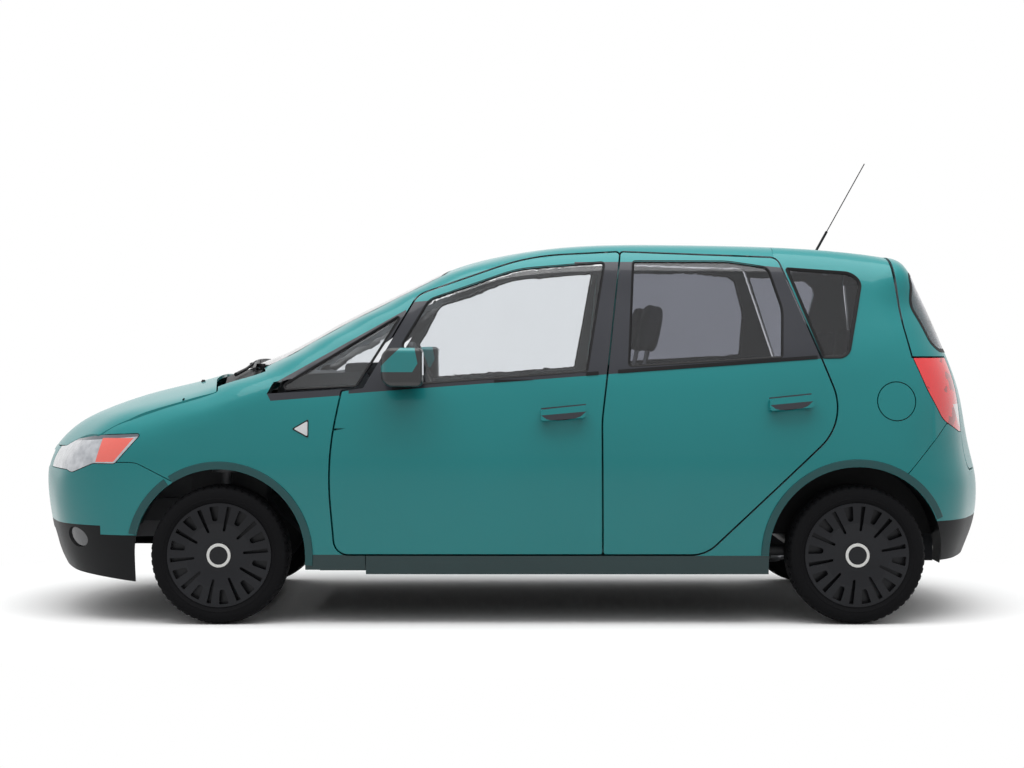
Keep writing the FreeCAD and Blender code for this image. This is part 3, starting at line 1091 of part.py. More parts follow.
def make_front_frame():
    """The rails, beams and strut towers that carry the engine, the bumper and the hood."""
    front = station(-0.80)
    pieces = []
    for side in (-1, 1):
        def block(x_from, x_to, y_from, y_to, z_from, z_to):
            low, high = sorted((side * y_from, side * y_to))
            pieces.append(box(x_from, x_to, low, high, z_from, z_to))
        block(front, BULKHEAD_X - SEAT_GAP, RAIL_INNER, RAIL_OUTER, FRAME_RAIL_Z, FRAME_RAIL_Z + RAIL_TALL)
        block(front, front + 2 * PLATE, RAIL_INNER, LATCH_HALF, FRAME_RAIL_Z, level(0.43))
        block(-LENGTH / 2, front + PLATE, RAIL_INNER, RAIL_OUTER, FRAME_RAIL_Z + PLATE / 2, FRAME_RAIL_Z + RAIL_TALL - PLATE / 2)
        wall = RAIL_OUTER - PLATE / 2
        top = along_kingpin(KINGPIN.Length)
        block(FRONT_AXLE - 8 * PLATE, BULKHEAD_X - SEAT_GAP, wall, RAIL_OUTER, FRAME_RAIL_Z, top.z)
        block(FRONT_AXLE - 5 * PLATE, FRONT_AXLE + 5 * PLATE, wall, -TOWER_Y + 5 * PLATE, top.z - PLATE / 2, top.z + PLATE / 2)
        block(FRONT_AXLE - 5 * PLATE, FRONT_AXLE - 4.7 * PLATE, wall, -TOWER_Y + 5 * PLATE, top.z - 5 * PLATE, top.z)
        block(FRONT_AXLE + 4.7 * PLATE, FRONT_AXLE + 5 * PLATE, wall, -TOWER_Y + 5 * PLATE, top.z - 5 * PLATE, top.z)
        block(HOOD_AXIS_X - PLATE, HOOD_AXIS_X + PLATE, wall, HOOD_HINGE_Y - ARM_WIDTH, top.z - PLATE / 2, top.z)
        block(HOOD_AXIS_X - ARM_WIDTH, HOOD_AXIS_X + ARM_WIDTH, HOOD_HINGE_Y - 1.5 * ARM_WIDTH,
              HOOD_HINGE_Y - ARM_WIDTH, top.z - PLATE / 2, HOOD_AXIS_Z + PIN_RADIUS)
        block(front - 2 * PLATE, front + PLATE, LATCH_HALF - PLATE, head_lamp_end + LAMP_GAP - SEAT_GAP,
              level(0.415), level(0.43))
        pieces.append(rod(Vector(HOOD_AXIS_X, side * (HOOD_HINGE_Y - ARM_WIDTH * 1.2), HOOD_AXIS_Z),
                          Vector(HOOD_AXIS_X, side * (HOOD_HINGE_Y + ARM_WIDTH / 2), HOOD_AXIS_Z), PIN_RADIUS))
    pieces.append(box(front, front + 2 * PLATE, -RAIL_OUTER, RAIL_OUTER, FRAME_RAIL_Z, FRAME_RAIL_Z + RAIL_TALL))
    pieces.append(box(front, front + 2 * PLATE, -LATCH_HALF, LATCH_HALF, level(0.415), level(0.43)))
    frame = joined(pieces).cut(sheet(plan_rays(NOSE_HUB, *FRAME_RISE, 130, 230), -6 * SKIN, BUMPER_SKIN + SEAT_GAP))
    for side in (-1, 1):
        low, high = along_kingpin(KINGPIN.Length - PLATE), along_kingpin(KINGPIN.Length + PLATE)
        frame = frame.cut(rod(Vector(low.x, side * -low.y, low.z), Vector(high.x, side * -high.y, high.z), STUD_RADIUS + PIN_PLAY))
    parts["front_frame"] = frame
    hood = parts["hood"]
    for side in (-1, 1):
        y = side * HOOD_HINGE_Y
        arm = box(HOOD_AXIS_X - ARM_WIDTH, HOOD_AXIS_X + ARM_WIDTH, y - ARM_WIDTH / 2, y + ARM_WIDTH / 2, HOOD_AXIS_Z,
                  cast(((HOOD_AXIS_X, y, SPINE_HEIGHT), (0, 0, 1)), HOOD_SKIN / 2).z)
        eye = rod(Vector(HOOD_AXIS_X, y - ARM_WIDTH / 2, HOOD_AXIS_Z), Vector(HOOD_AXIS_X, y + ARM_WIDTH / 2, HOOD_AXIS_Z), ARM_WIDTH)
        hood = hood.multiFuse([arm, eye])
    parts["hood"] = biggest(hood.cut(rod(Vector(HOOD_AXIS_X, -BODY_WIDTH, HOOD_AXIS_Z), Vector(HOOD_AXIS_X, BODY_WIDTH, HOOD_AXIS_Z), PIN_RADIUS + PIN_PLAY)))


def make_hatch_hinges():
    """The tailgate's hinge pockets, and the arms and header that carry it under the roof."""
    gate, roof = parts["tailgate"], parts["roof_panel"]
    rays = section_rays(*HEADER_SPAN, 36, 144)
    header = sheet(rays, ROOF_SKIN / 2, ROOF_SKIN + 2 * PLATE)
    header = header.common(box(ROOF_REAR - 5 * PLATE, ROOF_REAR - PLATE, -ROOF_EDGE, ROOF_EDGE, SPINE_HEIGHT, BODY_HEIGHT))
    pieces = [roof, header]
    drop = HATCH_SETBACK + PLATE / 2
    for side in (-1, 1):
        y = side * HATCH_HINGE_Y
        wide = HINGE_TALL / 2
        gate = gate.cut(box(ROOF_REAR, HATCH_AXIS_X + PIN_RADIUS + POCKET_ROOM, y - wide, y + wide, SPINE_HEIGHT, HATCH_AXIS_Z + PIN_RADIUS + POCKET_ROOM))
        gate = gate.cut(rod(Vector(HATCH_AXIS_X, y - wide - PIN_GRIP - PIN_PLAY, HATCH_AXIS_Z), Vector(HATCH_AXIS_X, y + wide + PIN_GRIP + PIN_PLAY, HATCH_AXIS_Z), PIN_RADIUS + PIN_PLAY))
        half = wide - POCKET_ROOM
        pieces.append(rod(Vector(HATCH_AXIS_X, y - wide - PIN_GRIP, HATCH_AXIS_Z), Vector(HATCH_AXIS_X, y + wide + PIN_GRIP, HATCH_AXIS_Z), PIN_RADIUS))
        pieces.append(rod(Vector(HATCH_AXIS_X, y - half, HATCH_AXIS_Z), Vector(HATCH_AXIS_X, y + half, HATCH_AXIS_Z), ARM_WIDTH / 2))
        pieces.append(box(HATCH_AXIS_X - ARM_WIDTH / 2, HATCH_AXIS_X + ARM_WIDTH / 2, y - half, y + half, HATCH_AXIS_Z - drop, HATCH_AXIS_Z))
        pieces.append(box(ROOF_REAR - 2 * PLATE, HATCH_AXIS_X + ARM_WIDTH / 2, y - half, y + half, HATCH_AXIS_Z - drop - ARM_WIDTH, HATCH_AXIS_Z - drop))
        pieces.append(box(ROOF_REAR - 2 * PLATE, ROOF_REAR - PLATE, y - half, y + half, HATCH_AXIS_Z - drop - ARM_WIDTH, HATCH_AXIS_Z))
    parts["tailgate"] = biggest(gate)
    parts["roof_panel"] = biggest(joined(pieces))


def ring_shell(axle, outer, inner, y_from, y_to):
    """A half-round shell over a left wheel, open below."""
    start, end = Vector(axle, y_from, AXLE_HEIGHT), Vector(axle, y_to, AXLE_HEIGHT)
    shell = tube(start, end, outer, inner)
    return shell.common(box(axle - outer, axle + outer, min(y_from, y_to), max(y_from, y_to), level(0.15), BODY_HEIGHT))


def make_wheel_wells():
    """The wells over the four wheels: plastic liners in front, sheet metal with an inner wall behind."""
    wall = SEAM
    front = ring_shell(FRONT_AXLE, ARCH_FRONT + 3 * wall, ARCH_FRONT + 2 * wall, -WELL_INNER - 7 * PLATE, -HALF_WIDTH * 0.905)
    front = front.cut(box(-LENGTH, station(-0.397), -BODY_WIDTH, 0, 0, BODY_HEIGHT))
    strap_z = AXLE_HEIGHT + math.sqrt(ARCH_FRONT ** 2 - (7 * PLATE) ** 2)
    strap = box(FRONT_AXLE - 7.5 * PLATE, FRONT_AXLE - 6.5 * PLATE, -WELL_INNER - 8 * PLATE, -RAIL_OUTER - SEAT_GAP,
                strap_z + SEAM, strap_z + 4 * SEAM)
    front = biggest(front.fuse(strap))
    rear = ring_shell(REAR_AXLE, ARCH_REAR + 3 * wall, ARCH_REAR + 2 * wall, -WELL_INNER, -HALF_WIDTH * 0.85)
    rear = rear.cut(sheet(plan_rays(TAIL_HUB, *REAR_BUMPER_RISE, 0, 106), -SKIN, BUMPER_SKIN + SEAM))
    rear = biggest(rear.cut(box(0, REAR_AXLE, -BODY_WIDTH, 0, 0, level(0.2225))))
    side = Part.makeCylinder(ARCH_REAR + 3 * wall, wall, Vector(REAR_AXLE, -WELL_INNER - wall, AXLE_HEIGHT), Vector(0, 1, 0))
    side = side.common(box(REAR_AXLE - BODY_WIDTH, REAR_AXLE + BODY_WIDTH, -BODY_WIDTH, 0, AXLE_HEIGHT + SPRING_RADIUS, BODY_HEIGHT))
    parts["wheel_wells"] = Part.makeCompound(pair(front).Solids + pair(rear.fuse(side)).Solids)


engine_shares = [(-0.66, 0.20, 0.02), (0.0, 0.20, 0.02), (0.0, 0.42, 0.05), (-0.25, 0.50, 0.03), (-0.66, 0.46, 0.03)]
ENGINE_HALF = 330.0


def make_engine_bay():
    """The engine with its gearbox as one block on its rails, and the radiator ahead of it."""
    engine = side_prism(side_points(engine_shares), -ENGINE_HALF, ENGINE_HALF)
    mount = box(FRONT_AXLE - 10 * PLATE, FRONT_AXLE - 6 * PLATE, -RAIL_INNER + SEAT_GAP, RAIL_INNER - SEAT_GAP, FRAME_RAIL_Z + PLATE, FRAME_RAIL_Z + RAIL_TALL)
    parts["engine_block"] = joined([engine, mount])
    front = station(-0.80) + 2 * PLATE + SEAT_GAP
    parts["radiator"] = box(front, front + 2 * PLATE, -RAIL_INNER * 0.8, RAIL_INNER * 0.8, level(0.17), level(0.41))


dash_shares = [(0.085, 0.46, 0), (0.26, 0.46, 0.02), (0.265, 0.56, 0.03), (0.225, 0.652, 0.02), (0.085, 0.640, 0)]
WHEEL_TILT = 25.0
STEER_X = -335.0
STEER_Y = -370.0
STEER_Z = 930.0
STEER_RADIUS = 182.0
GRIP_RADIUS = 14.0
COLUMN_RADIUS = 30.0
COLUMN_FAR = 330.0
COLUMN_NEAR = 60.0
PIN_FAR = 70.0
PIN_NEAR = 20.0
HUB_FAR = 58.0
HUB_NEAR = 8.0
BOSS_RADIUS = 50.0
SPOKE_DISH = 10.0
SPOKE_RISE = 6.0
BINNACLE_HALF = 190.0
binnacle_shares = [(0.19, 0.60, 0), (0.262, 0.60, 0.01), (0.262, 0.675, 0.02), (0.19, 0.672, 0.01)]

# The seats: side outlines as station, height and corner shares, and their half widths
cushion_shares = [(0.3832, 0.1976, 0.0198), (0.6072, 0.1976, 0.0198), (0.6072, 0.2899, 0.0198),
                  (0.3832, 0.3228, 0.0296)]
back_shares = [(0.5792, 0.2503, 0.0264), (0.6312, 0.2372, 0.0264), (0.6992, 0.6653, 0.0296),
               (0.6552, 0.6851, 0.0296)]
head_rest_shares = [(0.6632, 0.7082, 0.0198), (0.6932, 0.6983, 0.0198), (0.7092, 0.8235, 0.0198),
                    (0.6812, 0.8333, 0.0198)]
seat_base_shares = (0.4152, 0.5912, 0.2042)
stalk_shares = [(0.6772, 0.6522), (0.6864, 0.7312)]
bench_shares = [(0.9132, 0.2661, 0), (0.9512, 0.2661, 0.0198), (0.9512, 0.3294, 0.0198),
                (0.7552, 0.3491, 0.0296)]
bench_foot_shares = (0.7752, 0.8792)
bench_back_shares = [(0.9312, 0.2833, 0.0264), (0.9752, 0.2767, 0.0264), (1.1109, 0.6456, 0.0296),
                     (0.9872, 0.6653, 0.0296)]
rear_rest_shares = [(0.9932, 0.6818, 0.0198), (1.0946, 0.6752, 0.0198), (1.1436, 0.7576, 0.0198),
                    (1.0375, 0.7642, 0.0198)]
rear_stalk_shares = [(1.0261, 0.6258), (1.0587, 0.7115)]
SEAT_BASE_HALF = 200.0
CUSHION_HALF = 255.0
BACK_HALF = 245.0
HEAD_REST_HALF = 125.0
STALK_RADIUS = 7.0
STALK_SPREAD = 60.0
BENCH_HALF = 500.0
REAR_REST_HALF = 110.0
REAR_REST_Y = 330.0
REAR_STALK_SPREAD = 50.0


def stalks(shares, middle, spread):
    """The two bars that carry a head rest."""
    (low_x, low_z), (high_x, high_z) = [(station(s), level(h)) for s, h in shares]
    return [rod(Vector(low_x, y, low_z), Vector(high_x, y, high_z), STALK_RADIUS)
            for y in (middle - spread, middle + spread)]


def make_cabin():
    """The dashboard with its column, the steering wheel, and the seats as plain cushions."""
    dash = side_prism(side_points(dash_shares), -CABIN_HALF, CABIN_HALF)
    tilt = Vector(math.cos(math.radians(WHEEL_TILT)), 0, math.sin(math.radians(WHEEL_TILT)))
    centre = Vector(STEER_X, STEER_Y, STEER_Z)
    column = rod(centre - tilt * COLUMN_FAR, centre - tilt * COLUMN_NEAR, COLUMN_RADIUS)
    pin_radius = PIN_RADIUS * 1.5
    pin = rod(centre - tilt * PIN_FAR, centre - tilt * PIN_NEAR, pin_radius)
    binnacle = side_prism(side_points(binnacle_shares), STEER_Y - BINNACLE_HALF, STEER_Y + BINNACLE_HALF)
    pillars = sheet(section_rays(*DASH_SPAN, -6, 60), -SKIN, PILLAR_SINK + RAIL_THICK + SEAM)
    dash = joined([dash, column, pin, binnacle])
    parts["dashboard"] = biggest(dash.cut(pillars).cut(mirrored(pillars)))
    spokes = [rod(centre - tilt * HUB_FAR, centre + tilt * HUB_NEAR, BOSS_RADIUS),
              Part.makeTorus(STEER_RADIUS, GRIP_RADIUS, centre, tilt)]
    side = Vector(0, 1, 0)
    up = tilt.cross(side)
    for direction in (side, side * -1, up * -1 if up.z > 0 else up):
        start = centre - tilt * SPOKE_DISH
        spokes.append(rod(start, start + tilt * SPOKE_RISE + direction * STEER_RADIUS, GRIP_RADIUS * 0.9))
    bore = rod(centre - tilt * (PIN_FAR + 1), centre - tilt * (PIN_NEAR - 1), pin_radius + PIN_PLAY)
    parts["steering_wheel"] = joined(spokes).cut(bore)
    seats = []
    for y in (STEER_Y, -STEER_Y):
        low = level(floor_low_share) + PLATE + SEAT_GAP
        x_from, x_to, top = station(seat_base_shares[0]), station(seat_base_shares[1]), level(seat_base_shares[2])
        pieces = [box(x_from, x_to, y - SEAT_BASE_HALF, y + SEAT_BASE_HALF, low, top)]
        for shares, half in ((cushion_shares, CUSHION_HALF), (back_shares, BACK_HALF),
                             (head_rest_shares, HEAD_REST_HALF)):
            pieces.append(side_prism(side_points(shares), y - half, y + half))
        seats.append(joined(pieces + stalks(stalk_shares, y, STALK_SPREAD)))
    parts["front_seats"] = Part.makeCompound(seats)
    seat_z = level(seat_floor_share) + PLATE + SEAT_GAP
    foot = [(station(s), seat_z, 0) for s in bench_foot_shares]
    pieces = [side_prism(foot + side_points(bench_shares), -BENCH_HALF, BENCH_HALF),
              side_prism(side_points(bench_back_shares), -BENCH_HALF, BENCH_HALF)]
    for y in (-REAR_REST_Y, REAR_REST_Y):
        pieces.append(side_prism(side_points(rear_rest_shares), y - REAR_REST_HALF, y + REAR_REST_HALF))
        pieces += stalks(rear_stalk_shares, y, REAR_STALK_SPREAD)
    parts["rear_seat"] = joined(pieces)


MIRROR_LOW, MIRROR_HIGH = 935.0, 1085.0
PIPE_RADIUS = 24.0
TANK_FRONT, TANK_REAR = 790.0, 1060.0
TANK_LEFT, TANK_RIGHT = 430.0, 60.0
TANK_LOW = 205.0


def make_outside_fittings():
    """The door mirrors, the cowl with the wipers, the aerial, the exhaust and the tank."""
    housing = box(-505, -345, -1000, -835, MIRROR_LOW, MIRROR_HIGH)
    sharp = [e for e in housing.Edges if e.BoundBox.XMax < -500]
    housing = housing.makeFillet(48, sharp)
    rest = [e for e in housing.Edges if e.BoundBox.XMin > -350 or e.BoundBox.XLength > 60]
    try:
        housing = housing.makeFillet(20, rest)
    except Part.OCCError:
        pass
    arm = box(-450, -385, -850, -780, 940, 975)
    mirror = joined([housing, arm])
    mirror = mirror.cut(sheet(section_rays(*MIRROR_SPAN, 0, 40), -SEAT_GAP, DOOR_DEPTH * 3))
    parts["mirror_left"] = biggest(mirror)
    parts["mirror_right"] = mirrored(parts["mirror_left"])
    cowl = sheet(section_rays(*COWL_SPAN, 16, 164), HOOD_SKIN, HOOD_SKIN + GLASS)
    front_edge = [(-1195, 0, 0), (-1187, -260, 500), (-1140, -690, 10), (-1010, -690, 0), (-1010, 0, 0)]
    line = front_edge + [(x, -y, r) for x, y, r in reversed(front_edge) if y]
    cowl = cowl.common(top_prism(line, SPINE_HEIGHT)).cut(top_prism(grown(screen_line, SEAT_GAP), SPINE_HEIGHT))
    parts["cowl_panel"] = biggest(cowl)
    base = Vector(1300, 0, crest.at(1300) - 6)
    tip = Vector(1515, 0, 1874)
    along = (tip - base).normalize()
    foot = Part.makeCone(22, 14, 16, base)
    roof_room = sheet(section_rays(*ANTENNA_SPAN, 60, 120, FINE_PITCH), -SEAT_GAP, ROOF_SKIN)
    parts["antenna"] = joined([foot.cut(roof_room), rod(base + along * 12, base + along * 110, 5.5), rod(base + along * 100, tip, 2.2)])
    pipe_z = level(floor_low_share) - SEAT_GAP - PIPE_RADIUS
    pipe = [rod(Vector(-640, 120, pipe_z), Vector(1150, 120, pipe_z), 24), rod(Vector(1150, 120, pipe_z), Vector(1500, 330, 280), 24),
            box(1480, 1720, 180, 480, 235, 340), Part.makeSphere(24, Vector(1150, 120, pipe_z)),
            box(1560, 1600, 320, 345, 330, BOOT_FLOOR - SEAT_GAP)]
    parts["exhaust"] = joined(pipe)
    tank = box(TANK_FRONT, TANK_REAR, -TANK_LEFT, TANK_RIGHT, TANK_LOW, level(seat_floor_share) - SEAT_GAP)
    parts["fuel_tank"] = tank.makeFillet(20, [edge for edge in tank.Edges if edge.BoundBox.ZMax < 300])
    screen_rays = section_rays(*WIPER_SPAN, 16, 164)
    strips = []
    for y_from, y_to, x_from, x_to in ((-600, -40, -1035, -1085), (-20, 520, -1085, -1050)):
        line = [(x_from - 6, y_from, 0), (x_from + 6, y_from, 0), (x_to + 6, y_to, 0), (x_to - 6, y_to, 0)]
        strips.append(biggest(sheet(screen_rays, -16, -SEAT_GAP).common(top_prism(line, SPINE_HEIGHT))))
    parts["wipers"] = Part.makeCompound(strips)


if __name__ == "__main__":
    os.makedirs("parts", exist_ok=True)
    for make in (make_doors, make_side_frames, make_quarters, make_fenders, make_hood, make_roof_and_glass,
                 make_front_end, make_tail, make_wheels, make_knuckles, make_running_gear, make_floor,
                 make_front_frame, make_hatch_hinges, make_wheel_wells, make_engine_bay, make_cabin,
                 make_outside_fittings):
        make()
        print(make.__name__, len(parts), flush=True)
    for name, shape in parts.items():
        shape.exportStep("parts/" + name + ".step")
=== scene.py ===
import math

import bmesh
import bpy
from mathutils import Matrix, Vector
from mathutils.bvhtree import BVHTree


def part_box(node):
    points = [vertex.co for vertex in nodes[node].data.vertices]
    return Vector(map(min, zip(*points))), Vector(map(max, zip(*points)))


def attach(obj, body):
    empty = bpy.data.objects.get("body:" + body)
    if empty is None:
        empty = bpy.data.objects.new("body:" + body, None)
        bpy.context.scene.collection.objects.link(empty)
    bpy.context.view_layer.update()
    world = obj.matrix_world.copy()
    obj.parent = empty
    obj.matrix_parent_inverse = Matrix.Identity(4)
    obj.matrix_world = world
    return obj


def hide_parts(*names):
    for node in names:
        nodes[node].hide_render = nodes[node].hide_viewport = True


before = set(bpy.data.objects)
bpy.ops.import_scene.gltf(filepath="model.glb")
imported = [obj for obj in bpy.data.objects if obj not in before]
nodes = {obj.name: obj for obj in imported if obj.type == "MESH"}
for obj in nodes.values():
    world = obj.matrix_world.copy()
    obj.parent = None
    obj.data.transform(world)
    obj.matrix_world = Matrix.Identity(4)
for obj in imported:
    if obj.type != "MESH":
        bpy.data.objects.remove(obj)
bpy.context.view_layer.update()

# The frame: metres, X towards the tail, Y towards the car's right, Z up from the floor
SIDES = {"left": -1, "right": 1}


def colour(red, green, blue):
    """A linear colour from its screen values of 0 to 255."""
    def linear(value):
        share = value / 255
        return share / 12.92 if share <= 0.04045 else ((share + 0.055) / 1.055) ** 2.4
    return (linear(red), linear(green), linear(blue), 1.0)


# Colours, as light and dark tones of each surface
PAINT = colour(0, 132, 134), colour(0, 122, 124)
# Painted shade: the arch lips are painted a darker teal than the body, where they turn in away from the
# light.
LIP_PAINTED_SHADE = colour(0, 76, 78), colour(0, 68, 70)
# Painted shade: the sill is painted a much darker teal, where it turns under and faces the ground.
SILL_PAINTED_SHADE = colour(0, 42, 44), colour(0, 36, 38)
# Black film for the trim, also used as painted shade in the door handles' hollows and the gaps over them.
BLACK_FILM_AND_SHADE = colour(44, 46, 54), colour(36, 38, 45)
BLACK_PLASTIC = colour(20, 21, 23), colour(14, 15, 17)
SATIN_BLACK = colour(20, 21, 24), colour(14, 15, 17)
COVER_BLACK = colour(24, 25, 30), colour(14, 15, 18)
RUBBER = colour(20, 20, 22), colour(11, 11, 13)
FOG_DARK = colour(34, 36, 40)
BROW_GREY = colour(90, 94, 102)
SEAL_RUBBER = colour(20, 20, 22), colour(12, 12, 14)
TRIM_GREY = colour(120, 126, 130), colour(104, 110, 114)
DASH_GREY = colour(74, 78, 82), colour(60, 64, 68)
SEAT_CLOTH = colour(78, 82, 88), colour(52, 55, 62)
CARPET = colour(60, 62, 66), colour(44, 46, 50)
STEEL = colour(150, 152, 156), colour(120, 122, 126)
DARK_STEEL = colour(54, 55, 58), colour(38, 39, 42)
CAST = colour(110, 110, 112), colour(84, 84, 88)
WHITE = colour(242, 242, 238), colour(230, 230, 228)
# Painted reflection: the reflector's light and dark patches stand in for the reflections in its facets.
CHROME_AND_PAINTED_REFLECTIONS = colour(228, 230, 234), colour(110, 116, 124)
INDICATOR = colour(238, 104, 92)
LAMP_RED = colour(250, 2, 20), colour(232, 0, 16)
LAMP_DARK = colour(166, 2, 16)
REVERSE_WHITE = colour(236, 226, 224)
REPEATER_WHITE = colour(240, 240, 240), colour(205, 206, 210)
MIRROR_SILVER = colour(225, 228, 230), colour(215, 218, 222)
CLEAR_GLASS = (0.86, 0.88, 0.90, 1.0)
PRIVACY_GLASS = (0.40, 0.41, 0.45, 1.0)


class Finish:
    """A material whose tone, gloss and surface vary with noise in the object's own coordinates."""

    def __init__(self, name, tones, rough, grain=300.0, depth=0.0002, metallic=0.0, coat=0.0, patch=4.0,
                 shine=0.5):
        self.material = bpy.data.materials.new(name)
        self.material.use_nodes = True
        self.tree = self.material.node_tree
        self.shader = self.tree.nodes["Principled BSDF"]
        self.texture = self.node("ShaderNodeTexCoord")
        self.place = self.texture.outputs["Object"]
        self.shader.inputs["Metallic"].default_value = metallic
        self.shader.inputs["Coat Weight"].default_value = coat
        self.shader.inputs["Coat Roughness"].default_value = 0.04
        self.shader.inputs["Specular IOR Level"].default_value = shine
        fine = self.noise(grain)
        self.paint(self.mix(self.noise(patch), *tones))
        self.gloss(self.between(fine, rough * 0.85, rough * 1.15))
        self.bump = self.node("ShaderNodeBump")
        self.bump.inputs["Strength"].default_value = 0.6
        self.bump.inputs["Distance"].default_value = depth
        self.link(fine, self.bump.inputs["Height"])
        self.link(self.bump.outputs["Normal"], self.shader.inputs["Normal"])

    def node(self, kind):
        return self.tree.nodes.new(kind)

    def link(self, output, socket):
        self.tree.links.new(output, socket)

    def give(self, value, socket):
        """A socket takes either another node's output or a plain value."""
        if isinstance(value, bpy.types.NodeSocket):
            self.link(value, socket)
        else:
            socket.default_value = value

    def paint(self, output):
        self.base = output
        self.link(output, self.shader.inputs["Base Color"])

    def gloss(self, output):
        self.rough = output
        self.link(output, self.shader.inputs["Roughness"])

    def noise(self, scale):
        made = self.node("ShaderNodeTexNoise")
        made.inputs["Scale"].default_value = scale
        made.inputs["Detail"].default_value = 3.0
        self.link(self.place, made.inputs["Vector"])
        return made.outputs["Fac"]

    def mix(self, share, first, second):
        made = self.node("ShaderNodeMix")
        made.data_type = "RGBA"
        self.give(share, made.inputs[0])
        self.give(first, made.inputs[6])
        self.give(second, made.inputs[7])
        return made.outputs[2]

    def between(self, share, low, high):
        made = self.node("ShaderNodeMapRange")
        self.give(share, made.inputs["Value"])
        made.inputs["To Min"].default_value = low
        made.inputs["To Max"].default_value = high
        return made.outputs["Result"]

    def maths(self, operation, first, second):
        made = self.node("ShaderNodeMath")
        made.operation = operation
        self.give(first, made.inputs[0])
        self.give(second, made.inputs[1])
        return made.outputs[0]

    def dot(self, vector, direction):
        made = self.node("ShaderNodeVectorMath")
        made.operation = "DOT_PRODUCT"
        self.link(vector, made.inputs[0])
        self.give(direction, made.inputs[1])
        return made.outputs["Value"]

    def past(self, direction, distance):
        """1 past a plane that is this far from the origin along a direction, and 0 before it."""
        return self.maths("GREATER_THAN", self.dot(self.place, direction), distance)

    def inside(self, outline):
        """1 inside a convex side-view outline of (x, z) points, and 0 outside it."""
        middle = Vector((sum(x for x, z in outline), sum(z for x, z in outline))) / len(outline)
        least = None
        for (x0, z0), (x1, z1) in zip(outline, outline[1:] + outline[:1]):
            across = Vector((z1 - z0, x0 - x1)).normalized()
            if across.dot(middle - Vector((x0, z0))) < 0:
                across.negate()
            offset = across.dot(Vector((x0, z0)))
            away = self.maths("SUBTRACT", self.dot(self.place, (across.x, 0.0, across.y)), offset)
            least = away if least is None else self.maths("MINIMUM", least, away)
        return self.maths("GREATER_THAN", least, 0.0)

    def either(self, masks):
        """1 where any of the masks is 1."""
        most = masks[0]
        for mask in masks[1:]:
            most = self.maths("MAXIMUM", most, mask)
        return most

    def inward(self):
        """1 on faces that look into the car, and 0 on those that look out."""
        axis = self.node("ShaderNodeVectorMath")
        axis.operation = "MULTIPLY_ADD"
        self.link(self.place, axis.inputs[0])
        axis.inputs[1].default_value = (0.0, 1.0, 1.0)
        axis.inputs[2].default_value = (0.0, 0.0, -0.85)
        return self.maths("LESS_THAN", self.dot(self.texture.outputs["Normal"], axis.outputs[0]), -0.02)

    def cover(self, mask, tones, rough):
        """Another surface over the part that a mask marks."""
        self.paint(self.mix(mask, self.base, self.mix(self.noise(7.0), *tones)))
        made = self.node("ShaderNodeMix")
        self.link(mask, made.inputs[0])
        self.link(self.rough, made.inputs[2])
        made.inputs[3].default_value = rough
        self.gloss(made.outputs[0])


def glass(name, tint):
    """Clear or tinted glass with a trace of unevenness."""
    made = Finish(name, (tint, tuple(0.94 * part for part in tint[:3]) + (1.0,)), 0.02, grain=30.0, depth=0.0)
    made.shader.inputs["Transmission Weight"].default_value = 1.0
    made.shader.inputs["IOR"].default_value = 1.45
    return made


def wear(node, finish):
    """Gives a frame node one finish."""
    slots = nodes[node].data.materials
    slots.clear()
    slots.append(finish.material)


# Meshes
def new_piece(name, points, faces, finish, body, smooth_angle=40.0):
    """A piece from its points and faces, in place, that rides on a body."""
    mesh = bpy.data.meshes.new(name)
    mesh.from_pydata([tuple(p) for p in points], [], faces)
    mesh.validate()
    shape = bmesh.new()
    shape.from_mesh(mesh)
    bmesh.ops.recalc_face_normals(shape, faces=shape.faces)
    shape.to_mesh(mesh)
    shape.free()
    mesh.shade_smooth()
    mesh.set_sharp_from_angle(angle=math.radians(smooth_angle))
    mesh.materials.append(finish.material)
    made = bpy.data.objects.new(name, mesh)
    bpy.context.scene.collection.objects.link(made)
    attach(made, body)
    return made


def surface_of(*names):
    """A ray target made of these nodes' meshes."""
    points, faces = [], []
    for name in names:
        start = len(points)
        points += [v.co.copy() for v in nodes[name].data.vertices]
        faces += [[start + i for i in p.vertices] for p in nodes[name].data.polygons]
    return BVHTree.FromPolygons(points, faces)


def side_hit(target, x, z, side):
    """The outermost point of a target at this X and Z, or None."""
    return target.ray_cast(Vector((x, 3.0 * side, z)), Vector((0, -side, 0)))[0]


def rounded(outline, radius, steps=5):
    """A side-view outline with its corners rounded."""
    made = []
    count = len(outline)
    for i, corner in enumerate(outline):
        at = Vector(corner)
        before, after = Vector(outline[i - 1]), Vector(outline[(i + 1) % count])
        reach = min(radius, 0.45 * (before - at).length, 0.45 * (after - at).length)
        start, end = at + (before - at).normalized() * reach, at + (after - at).normalized() * reach
        for k in range(steps + 1):
            t = k / steps
            made.append(tuple(start * (1 - t) ** 2 + at * 2 * t * (1 - t) + end * t ** 2))
    return made


